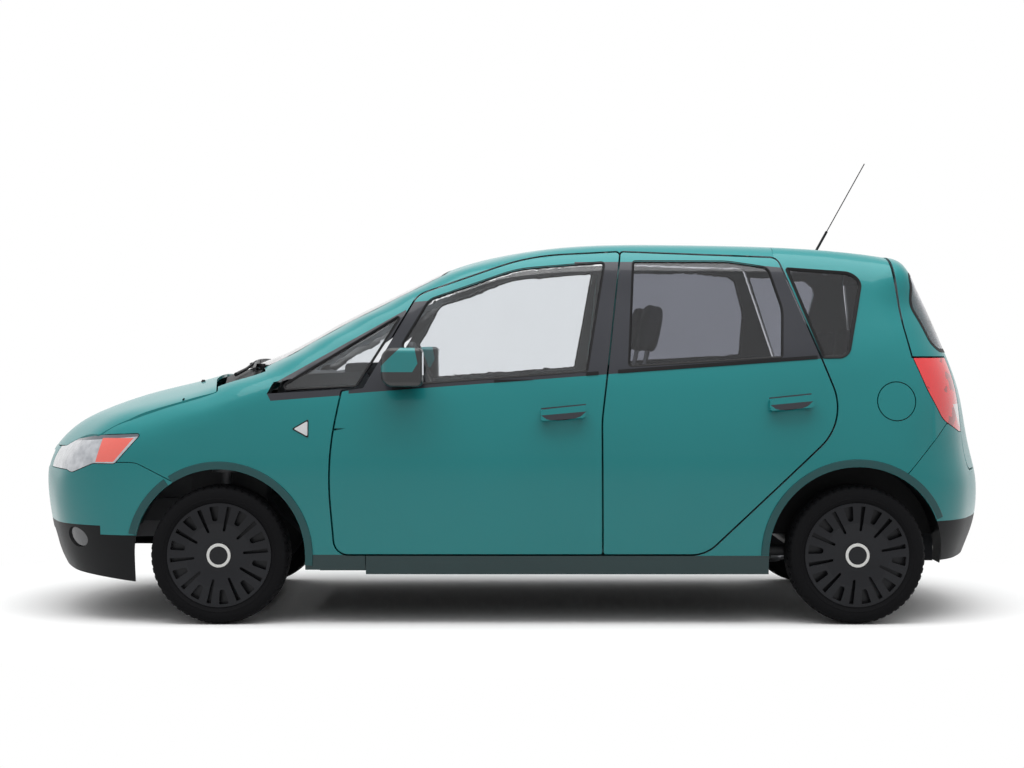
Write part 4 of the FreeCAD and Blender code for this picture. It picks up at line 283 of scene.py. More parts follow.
def applique(name, body, finish, target, side, outline, lift, thick, step=0.02):
    """A thin plate on a body side, inside an outline of (x, z) points, that follows the panel under it."""
    shape = bmesh.new()
    shape.faces.new([shape.verts.new((x, 0, z)) for x, z in outline])
    for axis in (0, 2):
        low = min(p[axis // 2] for p in outline)
        high = max(p[axis // 2] for p in outline)
        plane = Vector((1, 0, 0)) if axis == 0 else Vector((0, 0, 1))
        for k in range(1, int((high - low) / step) + 1):
            everything = shape.verts[:] + shape.edges[:] + shape.faces[:]
            bmesh.ops.bisect_plane(shape, geom=everything, plane_co=plane * (low + k * step), plane_no=plane)
    bmesh.ops.triangulate(shape, faces=[f for f in shape.faces if len(f.verts) > 4])
    lost = []
    for vert in shape.verts:
        hit = side_hit(target, vert.co.x, vert.co.z, side)
        if hit is None:
            lost.append(vert)
        else:
            vert.co.y = hit.y + side * lift
    bmesh.ops.delete(shape, geom=lost, context="VERTS")
    made = bmesh.ops.extrude_face_region(shape, geom=shape.faces[:])["geom"]
    for vert in made:
        if isinstance(vert, bmesh.types.BMVert):
            vert.co.y -= side * thick
    shape.verts.index_update()
    points = [v.co.copy() for v in shape.verts]
    faces = [[v.index for v in f.verts] for f in shape.faces]
    shape.free()
    return new_piece(name, points, faces, finish, body)


def tube_along(name, points, radius, finish, body, sides=10, taper=1.0):
    """A round bar through points, closed at both ends."""
    rows, faces = [], []
    count = len(points)
    for i, point in enumerate(points):
        ahead = points[min(i + 1, count - 1)] - points[max(i - 1, 0)]
        first = ahead.orthogonal().normalized()
        second = ahead.cross(first).normalized()
        wide = radius * (1 + (taper - 1) * i / (count - 1))
        turns = [2 * math.pi * k / sides for k in range(sides)]
        rows += [point + first * wide * math.cos(a) + second * wide * math.sin(a) for a in turns]
    for i in range(count - 1):
        for k in range(sides):
            after = (k + 1) % sides
            low, high = i * sides, (i + 1) * sides
            faces.append([low + k, low + after, high + after, high + k])
    faces.append(list(range(sides)))
    faces.append([(count - 1) * sides + k for k in reversed(range(sides))])
    return new_piece(name, rows, faces, finish, body)


def turned(profile, centre, steps, shift=None):
    """Points and faces of a closed ring: (radius, y) points turned about an axle along Y."""
    points, faces = [], []
    count = len(profile)
    for i in range(steps):
        angle = 2 * math.pi * i / steps
        for k, (radius, y) in enumerate(profile):
            reach = radius + (shift(i, k) if shift else 0.0)
            points.append(centre + Vector((reach * math.sin(angle), y, reach * math.cos(angle))))
    for i in range(steps):
        for k in range(count):
            here, there = i * count, (i + 1) % steps * count
            after = (k + 1) % count
            faces.append([here + k, here + after, there + after, there + k])
    return points, faces


# Finishes of the body
# Black film on the doors: belt strips, window surrounds and pillar strips; the handle outlines added below
# are painted shade.
FRONT_DOOR_BLACK_AND_SHADE = [
    [(-0.640, 0.905), (-0.640, 0.960), (0.470, 1.036), (0.470, 0.988)],
    [(-0.640, 0.905), (-0.436, 1.263), (-0.330, 1.272), (-0.430, 0.925)],
    [(0.250, 0.972), (0.250, 1.428), (0.470, 1.428), (0.470, 0.988)],
]
REAR_DOOR_BLACK_AND_SHADE = [
    [(0.330, 0.978), (0.330, 1.020), (1.330, 1.090), (1.330, 1.050)],
    [(0.330, 0.978), (0.330, 1.428), (0.500, 1.428), (0.500, 0.992)],
    [(0.980, 1.025), (0.980, 1.414), (1.120, 1.400), (1.330, 1.050)],
]
HANDLE_GAP_HIGH = 0.005
HOLLOW_DROP = 0.028
HOLLOW_STEPS = 8


def handle_dark(start, end):
    """Painted shade on a door handle: its lower half, where the fingers go in, and the gap over it, painted
    black in place of the shadow in the hollow.

    start and end are (x, lower edge, upper edge) at the handle's two ends."""
    (x0, low0, high0), (x1, low1, high1) = start, end
    middle0, middle1 = (low0 + high0) / 2, (low1 + high1) / 2
    hollow = [(x0, middle0), (x1, middle1)]
    for k in range(1, HOLLOW_STEPS):
        t = 1 - k / HOLLOW_STEPS
        reach = math.sin(math.pi * t) ** 0.5
        hollow.append((x0 + (x1 - x0) * t, middle0 + (middle1 - middle0) * t - HOLLOW_DROP * reach))
    gap = [(x0, high0), (x1, high1), (x1, high1 + HANDLE_GAP_HIGH), (x0, high0 + HANDLE_GAP_HIGH)]
    return [hollow, gap]


# Painted shade: the handles' lower halves and the gaps over them are painted black where their hollows would
# be in shadow.
FRONT_DOOR_BLACK_AND_SHADE += handle_dark((0.113, 0.800, 0.844), (0.289, 0.814, 0.861))
REAR_DOOR_BLACK_AND_SHADE += handle_dark((1.005, 0.839, 0.885), (1.172, 0.853, 0.902))
QUARTER_WINDOW_BLACK = [(-0.946, 0.877), (-0.961, 0.905), (-0.937, 0.944), (-0.420, 1.236), (-0.420, 0.917)]
MIRROR_CAP = [(-0.530, 0.992), (-0.465, 1.052), (-0.420, 1.095), (-0.375, 1.090), (-0.362, 1.025),
              (-0.382, 0.992)]
INDICATOR_FACE = [(-1.615, 0.729), (-1.484, 0.731), (-1.566, 0.637), (-1.642, 0.635)]
FOG_TOP = 0.45
SILL_TOP = 0.275
LAMP_BROW = [(-1.90, 0.700), (-1.90, 0.760), (-1.440, 0.760), (-1.440, 0.739)]
REVERSING_LAMP = [(1.756, 0.860), (1.85, 0.860), (1.85, 0.770), (1.792, 0.770)]
DOWN = (0.0, 0.0, -1.0)
BACK = (1.0, 0.0, 0.0)


def body_paint(name, black=(), lined=False):
    """Coated metallic paint, with black inside the outlines and grey lining on its inner faces; the black is
    film on the trim and painted shade at the handles.
    """
    made = Finish(name, PAINT, 0.34, grain=900.0, depth=0.00005, metallic=0.1, coat=0.35, patch=1.5,
                  shine=0.3)
    if black:
        made.cover(made.either([made.inside(outline) for outline in black]), BLACK_FILM_AND_SHADE, 0.30)
    if lined:
        made.cover(made.inward(), TRIM_GREY, 0.75)
    return made


def lamp_finish():
    """A clear lamp over a faceted reflector whose light and dark patches are painted reflections, with the
    orange indicator at its rear, and dark fog lamps.
    """
    made = Finish("headlamp", CHROME_AND_PAINTED_REFLECTIONS, 0.16, grain=60.0, depth=0.002, metallic=0.55, coat=1.0, patch=28.0)
    made.paint(made.mix(made.inside(LAMP_BROW), made.base, BROW_GREY))
    made.paint(made.mix(made.inside(INDICATOR_FACE), made.base, INDICATOR))
    made.paint(made.mix(made.past(DOWN, -FOG_TOP), made.base, FOG_DARK))
    return made


def tail_finish():
    """A red lens over darker cells, with a pale reversing lamp low at the rear."""
    made = Finish("tail_lens", LAMP_RED, 0.14, grain=160.0, depth=0.0006, coat=1.0, patch=12.0)
    cells = made.maths("GREATER_THAN", made.noise(9.0), 0.60)
    made.paint(made.mix(cells, made.base, LAMP_DARK))
    made.paint(made.mix(made.inside(REVERSING_LAMP), made.base, REVERSE_WHITE))
    return made


def side_glass():
    """Glass that is clear ahead of the doors and dark behind them."""
    made = glass("quarter_glass", CLEAR_GLASS)
    made.paint(made.mix(made.past(BACK, 0.0), made.base, PRIVACY_GLASS))
    return made


finishes = {
    "paint": body_paint("paint"),
    "lined_paint": body_paint("lined_paint", lined=True),
    "fender_paint": body_paint("fender_paint", [QUARTER_WINDOW_BLACK]),
    "frame_paint": body_paint("frame_paint", [QUARTER_WINDOW_BLACK], lined=True),
    "front_door_paint": body_paint("front_door_paint", FRONT_DOOR_BLACK_AND_SHADE, lined=True),
    "rear_door_paint": body_paint("rear_door_paint", REAR_DOOR_BLACK_AND_SHADE, lined=True),
    "black_plastic": Finish("black_plastic", BLACK_PLASTIC, 0.48, grain=700.0, depth=0.0003, shine=0.15),
    "satin_black": Finish("satin_black", SATIN_BLACK, 0.36, grain=500.0, depth=0.0001, shine=0.25),
    "cover_black": Finish("cover_black", COVER_BLACK, 0.30, grain=200.0, depth=0.0001, metallic=0.3,
                          shine=0.3),
    "rubber": Finish("rubber", RUBBER, 0.72, grain=500.0, depth=0.0003, shine=0.1),
    "seal_rubber": Finish("seal_rubber", SEAL_RUBBER, 0.5, grain=600.0, depth=0.0001, shine=0.2),
    "clear_glass": glass("clear_glass", CLEAR_GLASS),
    "privacy_glass": glass("privacy_glass", PRIVACY_GLASS),
    "quarter_glass": side_glass(),
    "headlamp": lamp_finish(),
    "tail_lens": tail_finish(),
    "dash": Finish("dash", DASH_GREY, 0.62, grain=900.0, depth=0.0004),
    "cloth": Finish("cloth", SEAT_CLOTH, 0.92, grain=1200.0, depth=0.0008, patch=60.0),
    "carpet": Finish("carpet", CARPET, 0.95, grain=900.0, depth=0.001, patch=30.0),
    "steel": Finish("steel", STEEL, 0.38, grain=250.0, depth=0.0002, metallic=0.9),
    "dark_steel": Finish("dark_steel", DARK_STEEL, 0.55, grain=250.0, depth=0.0003, metallic=0.2),
    "cast": Finish("cast", CAST, 0.6, grain=180.0, depth=0.0006, metallic=0.6),
    "white": Finish("white", WHITE, 0.35, grain=200.0, depth=0.0001, coat=0.5),
    "mirror": Finish("mirror", MIRROR_SILVER, 0.03, depth=0.0, metallic=1.0),
    "tank": Finish("tank", DARK_STEEL, 0.5, grain=300.0, depth=0.0003),
}
# Painted shade: below SILL_TOP the side frames and fenders are painted a darker teal, where the sill turns
# under towards the ground.
for low_finish in ("frame_paint", "fender_paint"):
    finishes[low_finish].cover(finishes[low_finish].past(DOWN, -SILL_TOP), SILL_PAINTED_SHADE, 0.4)
finishes["mirror_shell"] = Finish("mirror_shell", BLACK_PLASTIC, 0.4, grain=600.0, depth=0.0001, coat=0.3)
finishes["mirror_shell"].cover(finishes["mirror_shell"].inside(MIRROR_CAP), PAINT, 0.3)

WORN = {
    "paint": ["hood", "front_bumper", "rear_bumper", "fuel_flap"],
    "lined_paint": ["roof_panel", "quarter_panels", "tailgate"],
    "fender_paint": ["front_fenders"],
    "frame_paint": ["side_frames"],
    "front_door_paint": ["front_door_left", "front_door_right"],
    "rear_door_paint": ["rear_door_left", "rear_door_right"],
    "black_plastic": ["front_valance", "rear_valance", "cowl_panel", "wheel_wells"],
    "mirror_shell": ["mirror_left", "mirror_right"],
    "satin_black": ["front_grille", "antenna", "wipers"],
    "cover_black": ["wheel_front_left", "wheel_front_right", "wheel_rear_left", "wheel_rear_right"],
    "rubber": ["tyre_front_left", "tyre_front_right", "tyre_rear_left", "tyre_rear_right"],
    "clear_glass": ["windscreen", "front_door_glass_left", "front_door_glass_right"],
    "privacy_glass": ["rear_door_glass_left", "rear_door_glass_right", "tailgate_glass"],
    "quarter_glass": ["fixed_side_glass"],
    "headlamp": ["front_lamps"],
    "tail_lens": ["tail_lamps"],
    "dash": ["dashboard", "steering_wheel"],
    "cloth": ["front_seats", "rear_seat"],
    "carpet": ["floor_pan"],
    "steel": ["exhaust", "radiator"],
    "dark_steel": ["front_frame", "front_suspension", "rear_axle"],
    "cast": ["engine_block", "knuckle_left", "knuckle_right"],
    "tank": ["fuel_tank"],
}
for finish_name, members in WORN.items():
    for member in members:
        wear(member, finishes[finish_name])


# Wheels
TREAD_DEPTH = 0.006
TYRE_STEPS = 216
TYRE_SIDE = [(0.2720, 0.010), (0.2660, 0.011), (0.2660, 0.018), (0.2720, 0.019), (0.2716, 0.030),
             (0.2712, 0.040), (0.2650, 0.041), (0.2650, 0.048), (0.2708, 0.049), (0.2700, 0.058),
             (0.2690, 0.066), (0.2672, 0.073),
             (0.2642, 0.080), (0.2590, 0.0862), (0.2520, 0.0895), (0.2440, 0.0915), (0.2360, 0.0923),
             (0.2290, 0.0919), (0.2250, 0.0912), (0.2240, 0.0921), (0.2205, 0.0918), (0.2195, 0.0906),
             (0.2150, 0.0888), (0.2100, 0.0862), (0.2070, 0.0842), (0.2060, 0.0850), (0.2035, 0.0836),
             (0.2008, 0.0780)]
SHOULDER_ROWS = range(8, 13)
RING_OUTER, RING_INNER = 0.048, 0.034


def tyre_sipes(step, row):
    """How much lower the tread is at a crosswise cut."""
    count = len(TYRE_SIDE)
    from_crown = row if row < count else 2 * count - 1 - row
    return -TREAD_DEPTH * 0.8 if from_crown in SHOULDER_ROWS and step % 4 == 0 else 0.0


def dress_wheel(end, side_name):
    """A treaded tyre in place of the plain one, and the pale ring round the cover's cap."""
    body = "wheel_" + end + "_" + side_name
    node = "tyre_" + end + "_" + side_name
    low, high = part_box(node)
    centre = (low + high) / 2
    profile = TYRE_SIDE + [(radius, -y) for radius, y in reversed(TYRE_SIDE)]
    points, faces = turned(profile, centre, TYRE_STEPS, tyre_sipes)
    tyre = new_piece("treaded_" + node, points, faces, finishes["rubber"], body, 32.0)
    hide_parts(node)
    side = SIDES[side_name]
    low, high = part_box(body)
    face = (low.y if side < 0 else high.y) - centre.y
    base, top = face - side * 0.004, face - side * 0.0002
    profile = [(RING_INNER, base), (RING_INNER + 0.002, top), (RING_OUTER - 0.002, top), (RING_OUTER, base),
               (RING_OUTER - 0.002, base - side * 0.003), (RING_INNER + 0.002, base - side * 0.003)]
    points, faces = turned(profile, centre, 72)
    new_piece("cap_ring_" + end + "_" + side_name, points, faces, finishes["white"], body)


for end in ("front", "rear"):
    for side_name in SIDES:
        dress_wheel(end, side_name)


# Window seals
SEAL_INNER, SEAL_OUTER = 0.007, 0.004
SEAL_LIFT = 0.0055


def outer_rims(node, out, x_from=-9.0, x_to=9.0):
    """The edge loops of a pane's outer face: lists of (point, normal)."""
    shape = bmesh.new()
    shape.from_mesh(nodes[node].data)
    bmesh.ops.remove_doubles(shape, verts=shape.verts, dist=0.00001)
    shape.normal_update()
    chosen = set()
    for face in shape.faces:
        middle = face.calc_center_median()
        if face.normal.dot(out) > 0.35 and x_from < middle.x < x_to:
            chosen.add(face)
    links, normals = {}, {}
    for edge in shape.edges:
        if sum(1 for face in edge.link_faces if face in chosen) == 1:
            a, b = edge.verts
            links.setdefault(a, []).append(b)
            links.setdefault(b, []).append(a)
    for vert in links:
        near = [face.normal for face in vert.link_faces if face in chosen]
        normals[vert] = sum(near, Vector()).normalized() if near else Vector(out)
    loops, seen = [], set()
    for first in links:
        if first in seen:
            continue
        loop, at = [], first
        while at is not None:
            seen.add(at)
            loop.append((at.co.copy(), normals[at]))
            at = next((other for other in links[at] if other not in seen), None)
        if len(loop) > 8:
            loops.append(loop)
    shape.free()
    return loops


def seal(name, loop, body, inner=SEAL_INNER, outer=SEAL_OUTER, lift=SEAL_LIFT):
    """A rubber strip along the edge of a pane, standing over the joint."""
    centre = sum((point for point, normal in loop), Vector()) / len(loop)
    section = [(-inner, 0.0002), (-inner * 0.7, lift * 0.45), (0.0, lift), (outer * 0.7, lift),
               (outer, lift * 0.5), (outer * 0.6, -0.003), (-inner * 0.6, -0.001)]
    points, faces = [], []
    count, wide = len(loop), len(section)
    for i, (point, normal) in enumerate(loop):
        along = (loop[(i + 1) % count][0] - loop[i - 1][0]).normalized()
        away = along.cross(normal).normalized()
        if away.dot(point - centre) < 0:
            away.negate()
        points += [point + away * reach + normal * height for reach, height in section]
    for i in range(count):
        for k in range(wide):
            here, there = i * wide, (i + 1) % count * wide
            after = (k + 1) % wide
            faces.append([here + k, here + after, there + after, there + k])
    return new_piece(name, points, faces, finishes["seal_rubber"], body)


for side_name, side in SIDES.items():
    out = Vector((0, side, 0))
    for end in ("front", "rear"):
        door = end + "_door_" + side_name
        for loop in outer_rims(end + "_door_glass_" + side_name, out)[:1]:
            seal("seal_" + door, loop, door)
    for loop in outer_rims("fixed_side_glass", out, x_to=0.0)[:1]:
        seal("seal_front_quarter_" + side_name, loop, "car_body", outer=0.0025)
    for loop in outer_rims("fixed_side_glass", out, x_from=0.0)[:1]:
        seal("seal_rear_quarter_" + side_name, loop, "car_body", inner=0.012, outer=0.0025)
for loop in outer_rims("windscreen", Vector((-0.6, 0, 0.8)))[:1]:
    seal("seal_windscreen", loop, "car_body", inner=0.018, outer=0.001, lift=0.001)
for loop in outer_rims("tailgate_glass", Vector((1, 0, 0.3)))[:1]:
    seal("seal_tailgate", loop, "tailgate", inner=0.016, outer=0.001, lift=0.001)


# Arch lips
AXLE_HEIGHT = 0.272
ARCH_RADII = {"front": 0.338, "rear": 0.347}
ARCH_PANELS = {"front": ["front_fenders", "front_bumper"], "rear": ["quarter_panels", "rear_bumper"]}
LIP_SECTION = [(0.0005, 0.0008), (0.012, 0.0030), (0.026, 0.0058), (0.0288, 0.0062), (0.030, 0.0046),
               (0.0305, -0.002), (0.0005, -0.002)]
LIP_START, LIP_SWEEP = -8.0, 196.0
LIP_STEPS = 120
INNERMOST_PANEL = 0.6


def arch_lip(end, side_name):
    """The turned-out lip round a wheel opening, as far as the panels of the body reach."""
    low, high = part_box("tyre_" + end + "_" + side_name)
    centre_x = (low.x + high.x) / 2
    side = SIDES[side_name]
    target = surface_of(*ARCH_PANELS[end])
    rows = []
    for i in range(LIP_STEPS + 1):
        angle = math.radians(LIP_START + LIP_SWEEP * i / LIP_STEPS)
        row = []
        for reach, height in LIP_SECTION:
            radius = ARCH_RADII[end] + reach
            x, z = centre_x - radius * math.cos(angle), AXLE_HEIGHT + radius * math.sin(angle)
            probe = ARCH_RADII[end] + max(reach, 0.003)
            hit = side_hit(target, centre_x - probe * math.cos(angle),
                           AXLE_HEIGHT + probe * math.sin(angle), side)
            if hit is None or abs(hit.y) < INNERMOST_PANEL:
                row = None
                break
            row.append(Vector((x, hit.y + side * height, z)))
        rows.append(row)
    runs, run = [], []
    for row in rows + [None]:
        if row is not None:
            run.append(row)
        elif run:
            runs.append(run)
            run = []
    wide = len(LIP_SECTION)
    for number, run in enumerate(r for r in runs if len(r) > 6):
        points = [point for row in run for point in row]
        faces = [[i * wide + k, i * wide + (k + 1) % wide,
                  (i + 1) * wide + (k + 1) % wide, (i + 1) * wide + k]
                 for i in range(len(run) - 1) for k in range(wide)]
        faces += [list(range(wide)), [(len(run) - 1) * wide + k for k in reversed(range(wide))]]
        name = "arch_lip_" + end + "_" + side_name + "_" + str(number)
        new_piece(name, points, faces, finishes["lip_painted_shade"], "car_body")


# Painted shade: a darker teal on the arch lips, where they turn in away from the light.
finishes["lip_painted_shade"] = Finish("lip_painted_shade", LIP_PAINTED_SHADE, 0.4, grain=900.0, depth=0.00005, coat=0.2, shine=0.3)
for end in ("front", "rear"):
    for side_name in SIDES:
        arch_lip(end, side_name)


# Small pieces on the sides
REPEATER = [(-0.853, 0.768), (-0.799, 0.799), (-0.799, 0.739)]
REPEATER_RIM = [(-0.862, 0.768), (-0.795, 0.807), (-0.795, 0.731)]
BELT_FRONT = [(-0.470, 0.920), (0.340, 0.979)]
BELT_REAR = [(0.415, 0.985), (1.200, 1.041)]
BELT_TALL = 0.014


def belt(name, body, node, ends, side):
    """The rubber belt moulding along the foot of a door's window."""
    (x0, z0), (x1, z1) = ends
    outline = [(x0, z0), (x1, z1), (x1, z1 + BELT_TALL), (x0, z0 + BELT_TALL)]
    applique(name, body, finishes["seal_rubber"], surface_of(node), side,
             rounded(outline, 0.004), 0.0025, 0.004, step=0.04)


finishes["repeater"] = Finish("repeater", REPEATER_WHITE, 0.12, grain=300.0, depth=0.0004, coat=1.0,
                              patch=40.0)
for side_name, side in SIDES.items():
    fender = surface_of("front_fenders")
    applique("repeater_" + side_name, "car_body", finishes["repeater"], fender, side,
             rounded(REPEATER, 0.008), 0.003, 0.0045, step=0.01)
    applique("repeater_rim_" + side_name, "car_body", finishes["satin_black"], fender, side,
             rounded(REPEATER_RIM, 0.010), 0.0012, 0.003, step=0.01)
    belt("belt_front_" + side_name, "front_door_" + side_name, "front_door_" + side_name, BELT_FRONT, side)
    belt("belt_rear_" + side_name, "rear_door_" + side_name, "rear_door_" + side_name, BELT_REAR, side)


# Seats
def pad(name, body, centre, size, lean, bolster=0.0, channels=0, power=4.5, across=18):
    """A crowned cushion: its edges pull in, its seams sink, and it may have raised sides.

    size is (thickness, width, length); lean tips its length back from upright, in degrees."""
    shape = bmesh.new()
    bmesh.ops.create_cube(shape, size=2.0)
    bmesh.ops.subdivide_edges(shape, edges=shape.edges, cuts=across, use_grid_fill=True)
    thick, wide, long = (0.5 * part for part in size)
    turn = Matrix.Rotation(math.radians(lean), 3, "Y")
    for vert in shape.verts:
        p = vert.co.copy()
        norm = (abs(p.x) ** power + abs(p.y) ** power + abs(p.z) ** power) ** (1 / power)
        p = p / norm * max(abs(p.x), abs(p.y), abs(p.z))
        crown = 1.0 + 0.10 * (1 - p.y ** 2) * (1 - p.z ** 2)
        seam = 0.045 * math.exp(-(p.x / 0.10) ** 2)
        x = p.x * thick * crown
        y = p.y * wide * (1 - seam)
        z = p.z * long * (1 - seam)
        if p.x < 0:
            raised = max(0.0, abs(p.y) - 0.62) / 0.38
            x -= bolster * math.sin(min(raised, 1.0) * math.pi * 0.72) * (1 - abs(p.z) ** 4)
            for k in range(channels):
                line = (k + 1) / (channels + 1) * 2 - 1
                if abs(p.y) < 0.66:
                    x += 0.007 * math.exp(-((p.z - line) / 0.035) ** 2)
            if bolster:
                x += 0.008 * math.exp(-((abs(p.y) - 0.62) / 0.03) ** 2)
        vert.co = turn @ Vector((x, y, z)) + centre
    shape.verts.index_update()
    points = [v.co.copy() for v in shape.verts]
    faces = [[v.index for v in f.verts] for f in shape.faces]
    shape.free()
    made = new_piece(name, points, faces, finishes["cloth"], body, 80.0)
    smooth = made.modifiers.new("rounding", "SUBSURF")
    smooth.levels = 1
    smooth.render_levels = 1
    return made


def rounded_box(name, low, high, finish, body, corner=0.012):
    """A box with rolled edges."""
    shape = bmesh.new()
    bmesh.ops.create_cube(shape, size=1.0)
    for vert in shape.verts:
        vert.co = Vector([low[i] + (vert.co[i] + 0.5) * (high[i] - low[i]) for i in range(3)])
    bmesh.ops.bevel(shape, geom=shape.edges[:], offset=corner, segments=3, affect="EDGES")
    shape.verts.index_update()
    points = [v.co.copy() for v in shape.verts]
    faces = [[v.index for v in f.verts] for f in shape.faces]
    shape.free()
    return new_piece(name, points, faces, finish, body)


SEAT_Y = 0.370
REAR_HEAD_Y = 0.330
POST_RADIUS = 0.0065
front_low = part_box("front_seats")[0]
rear_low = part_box("rear_seat")[0]


def front_seat(side_name):
    """One front seat: a plinth, a bolstered cushion and back, and a head restraint on two posts."""
    y = SEAT_Y * SIDES[side_name]
    pieces = [
        pad("front_cushion_" + side_name, "car_body", Vector((0.085, y, 0.395)), (0.150, 0.500, 0.550), 86.0,
            bolster=0.025, channels=3),
        pad("front_back_" + side_name, "car_body", Vector((0.458, y, 0.705)), (0.115, 0.480, 0.640), 15.0,
            bolster=0.030, channels=4),
        pad("front_head_" + side_name, "car_body", Vector((0.568, y, 1.163)), (0.078, 0.244, 0.190), 11.0,
            across=10),
        rounded_box("front_plinth_" + side_name, (-0.108, y - 0.198, front_low.z), (0.328, y + 0.198, 0.345),
                    finishes["dash"], "car_body"),
    ]
    for k in (-0.06, 0.06):
        posts = [Vector((0.536, y + k, 0.960)), Vector((0.566, y + k, 1.110))]
        name = "front_post_" + side_name + ("_a" if k < 0 else "_b")
        pieces.append(tube_along(name, posts, POST_RADIUS, finishes["steel"], "car_body"))
    for piece in pieces:
        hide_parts("front_seats")


def rear_bench():
    """The rear bench: cushion, back and two head restraints over a moulded base."""
    pieces = [
        pad("rear_cushion", "car_body", Vector((0.985, 0.0, 0.440)), (0.125, 0.990, 0.480), 85.0,
            channels=2, across=24),
        pad("rear_back", "car_body", Vector((1.303, 0.0, 0.715)), (0.110, 0.990, 0.575), 14.0,
            channels=3, across=24),
        rounded_box("rear_plinth", (0.795, -0.495, rear_low.z), (1.050, 0.495, 0.430), finishes["carpet"],
                    "car_body"),
    ]
    for side_name, side in SIDES.items():
        y = REAR_HEAD_Y * side
        pieces.append(pad("rear_head_" + side_name, "car_body", Vector((1.390, y, 1.093)),
                          (0.072, 0.214, 0.124), 9.0, across=10))
        for k in (-0.05, 0.05):
            posts = [Vector((1.366, y + k, 0.940)), Vector((1.386, y + k, 1.070))]
            name = "rear_post_" + side_name + ("_a" if k < 0 else "_b")
            pieces.append(tube_along(name, posts, POST_RADIUS, finishes["steel"], "car_body"))
    for piece in pieces:
        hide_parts("rear_seat")


for side_name in SIDES:
    front_seat(side_name)
rear_bench()


# Wipers, washers and mirror glass
def down_hit(target, x, y):
    """The highest point of a target at this X and Y."""
    return target.ray_cast(Vector((x, y, 3.0)), Vector((0, 0, -1)))[0]


def behind_hit(target, y, z):
    """The rearmost point of a target at this Y and Z."""
    return target.ray_cast(Vector((4.0, y, z)), Vector((-1, 0, 0)))[0]


ARM_RADIUS = 0.008
front_glass = surface_of("windscreen", "cowl_panel", "hood")
WIPER_ARMS = {"left": [(-1.120, -0.520), (-1.090, -0.420), (-1.062, -0.320)],
              "right": [(-1.130, 0.060), (-1.105, 0.160), (-1.072, 0.260)]}
for side_name, route in WIPER_ARMS.items():
    lifted = [down_hit(front_glass, x, y) for x, y in route]
    lifted = [p + Vector((0, 0, 0.016)) for p in lifted if p is not None]
    if len(lifted) > 1:
        tube_along("wiper_arm_" + side_name, lifted, ARM_RADIUS, finishes["satin_black"], "car_body",
                   taper=0.6)

rear_glass = surface_of("tailgate_glass", "tailgate")
REAR_ARM_RADIUS = 0.009
BOSS_RADIUS = 0.018
WASHER_X, WASHER_Y, WASHER_RADIUS = -1.283, 0.30, 0.011
REAR_WIPER = [(0.0, 1.108), (0.06, 1.112), (0.20, 1.120), (0.34, 1.126)]
spine = [behind_hit(rear_glass, y, z) for y, z in REAR_WIPER]
spine = [p + Vector((0.012, 0, 0.004)) for p in spine if p is not None]
tube_along("rear_wiper_arm", spine, REAR_ARM_RADIUS, finishes["satin_black"], "tailgate",
           taper=0.5)
tube_along("rear_wiper_boss", [spine[0] + Vector((-0.016, 0, 0)), spine[0] + Vector((0.006, 0, 0))],
           BOSS_RADIUS, finishes["satin_black"], "tailgate", sides=20, taper=0.8)

hood_skin = surface_of("hood")
for side_name, side in SIDES.items():
    spot = down_hit(hood_skin, WASHER_X, WASHER_Y * side)
    if spot is not None:
        tube_along("washer_" + side_name, [spot - Vector((0, 0, 0.001)), spot + Vector((0, 0, 0.009))],
                   WASHER_RADIUS, finishes["satin_black"], "hood", sides=16, taper=0.55)

MIRROR_FACE = [(0.855, 0.952), (0.982, 0.952), (0.982, 1.068), (0.855, 1.068)]
for side_name, side in SIDES.items():
    low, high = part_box("mirror_" + side_name)
    outline = rounded(MIRROR_FACE, 0.022)
    front = [Vector((high.x + 0.0004, side * y, z)) for y, z in outline]
    back = [Vector((high.x - 0.0020, side * y, z)) for y, z in outline]
    count = len(outline)
    faces = [[i, (i + 1) % count, count + (i + 1) % count, count + i] for i in range(count)]
    faces += [list(range(count)), [count + i for i in reversed(range(count))]]
    new_piece("mirror_glass_" + side_name, front + back, faces, finishes["mirror"], "front_door_" + side_name,
              20.0)


# Floor, light and camera
def seen_rays(tree):
    """1 for the rays that show the background: straight ones, mirrored ones and those through glass."""
    path = tree.nodes.new("ShaderNodeLightPath")
    shown = path.outputs["Is Camera Ray"]
    for kind in ("Is Glossy Ray", "Is Transmission Ray"):
        either = tree.nodes.new("ShaderNodeMath")
        either.operation = "MAXIMUM"
        tree.links.new(shown, either.inputs[0])
        tree.links.new(path.outputs[kind], either.inputs[1])
        shown = either.outputs[0]
    return shown


FLOOR_REACH = 60.0
FADE_FROM, FADE_TO = 2.1, 3.4
FLOOR_SHADE, FLOOR_SHOWN = 0.22, 0.93


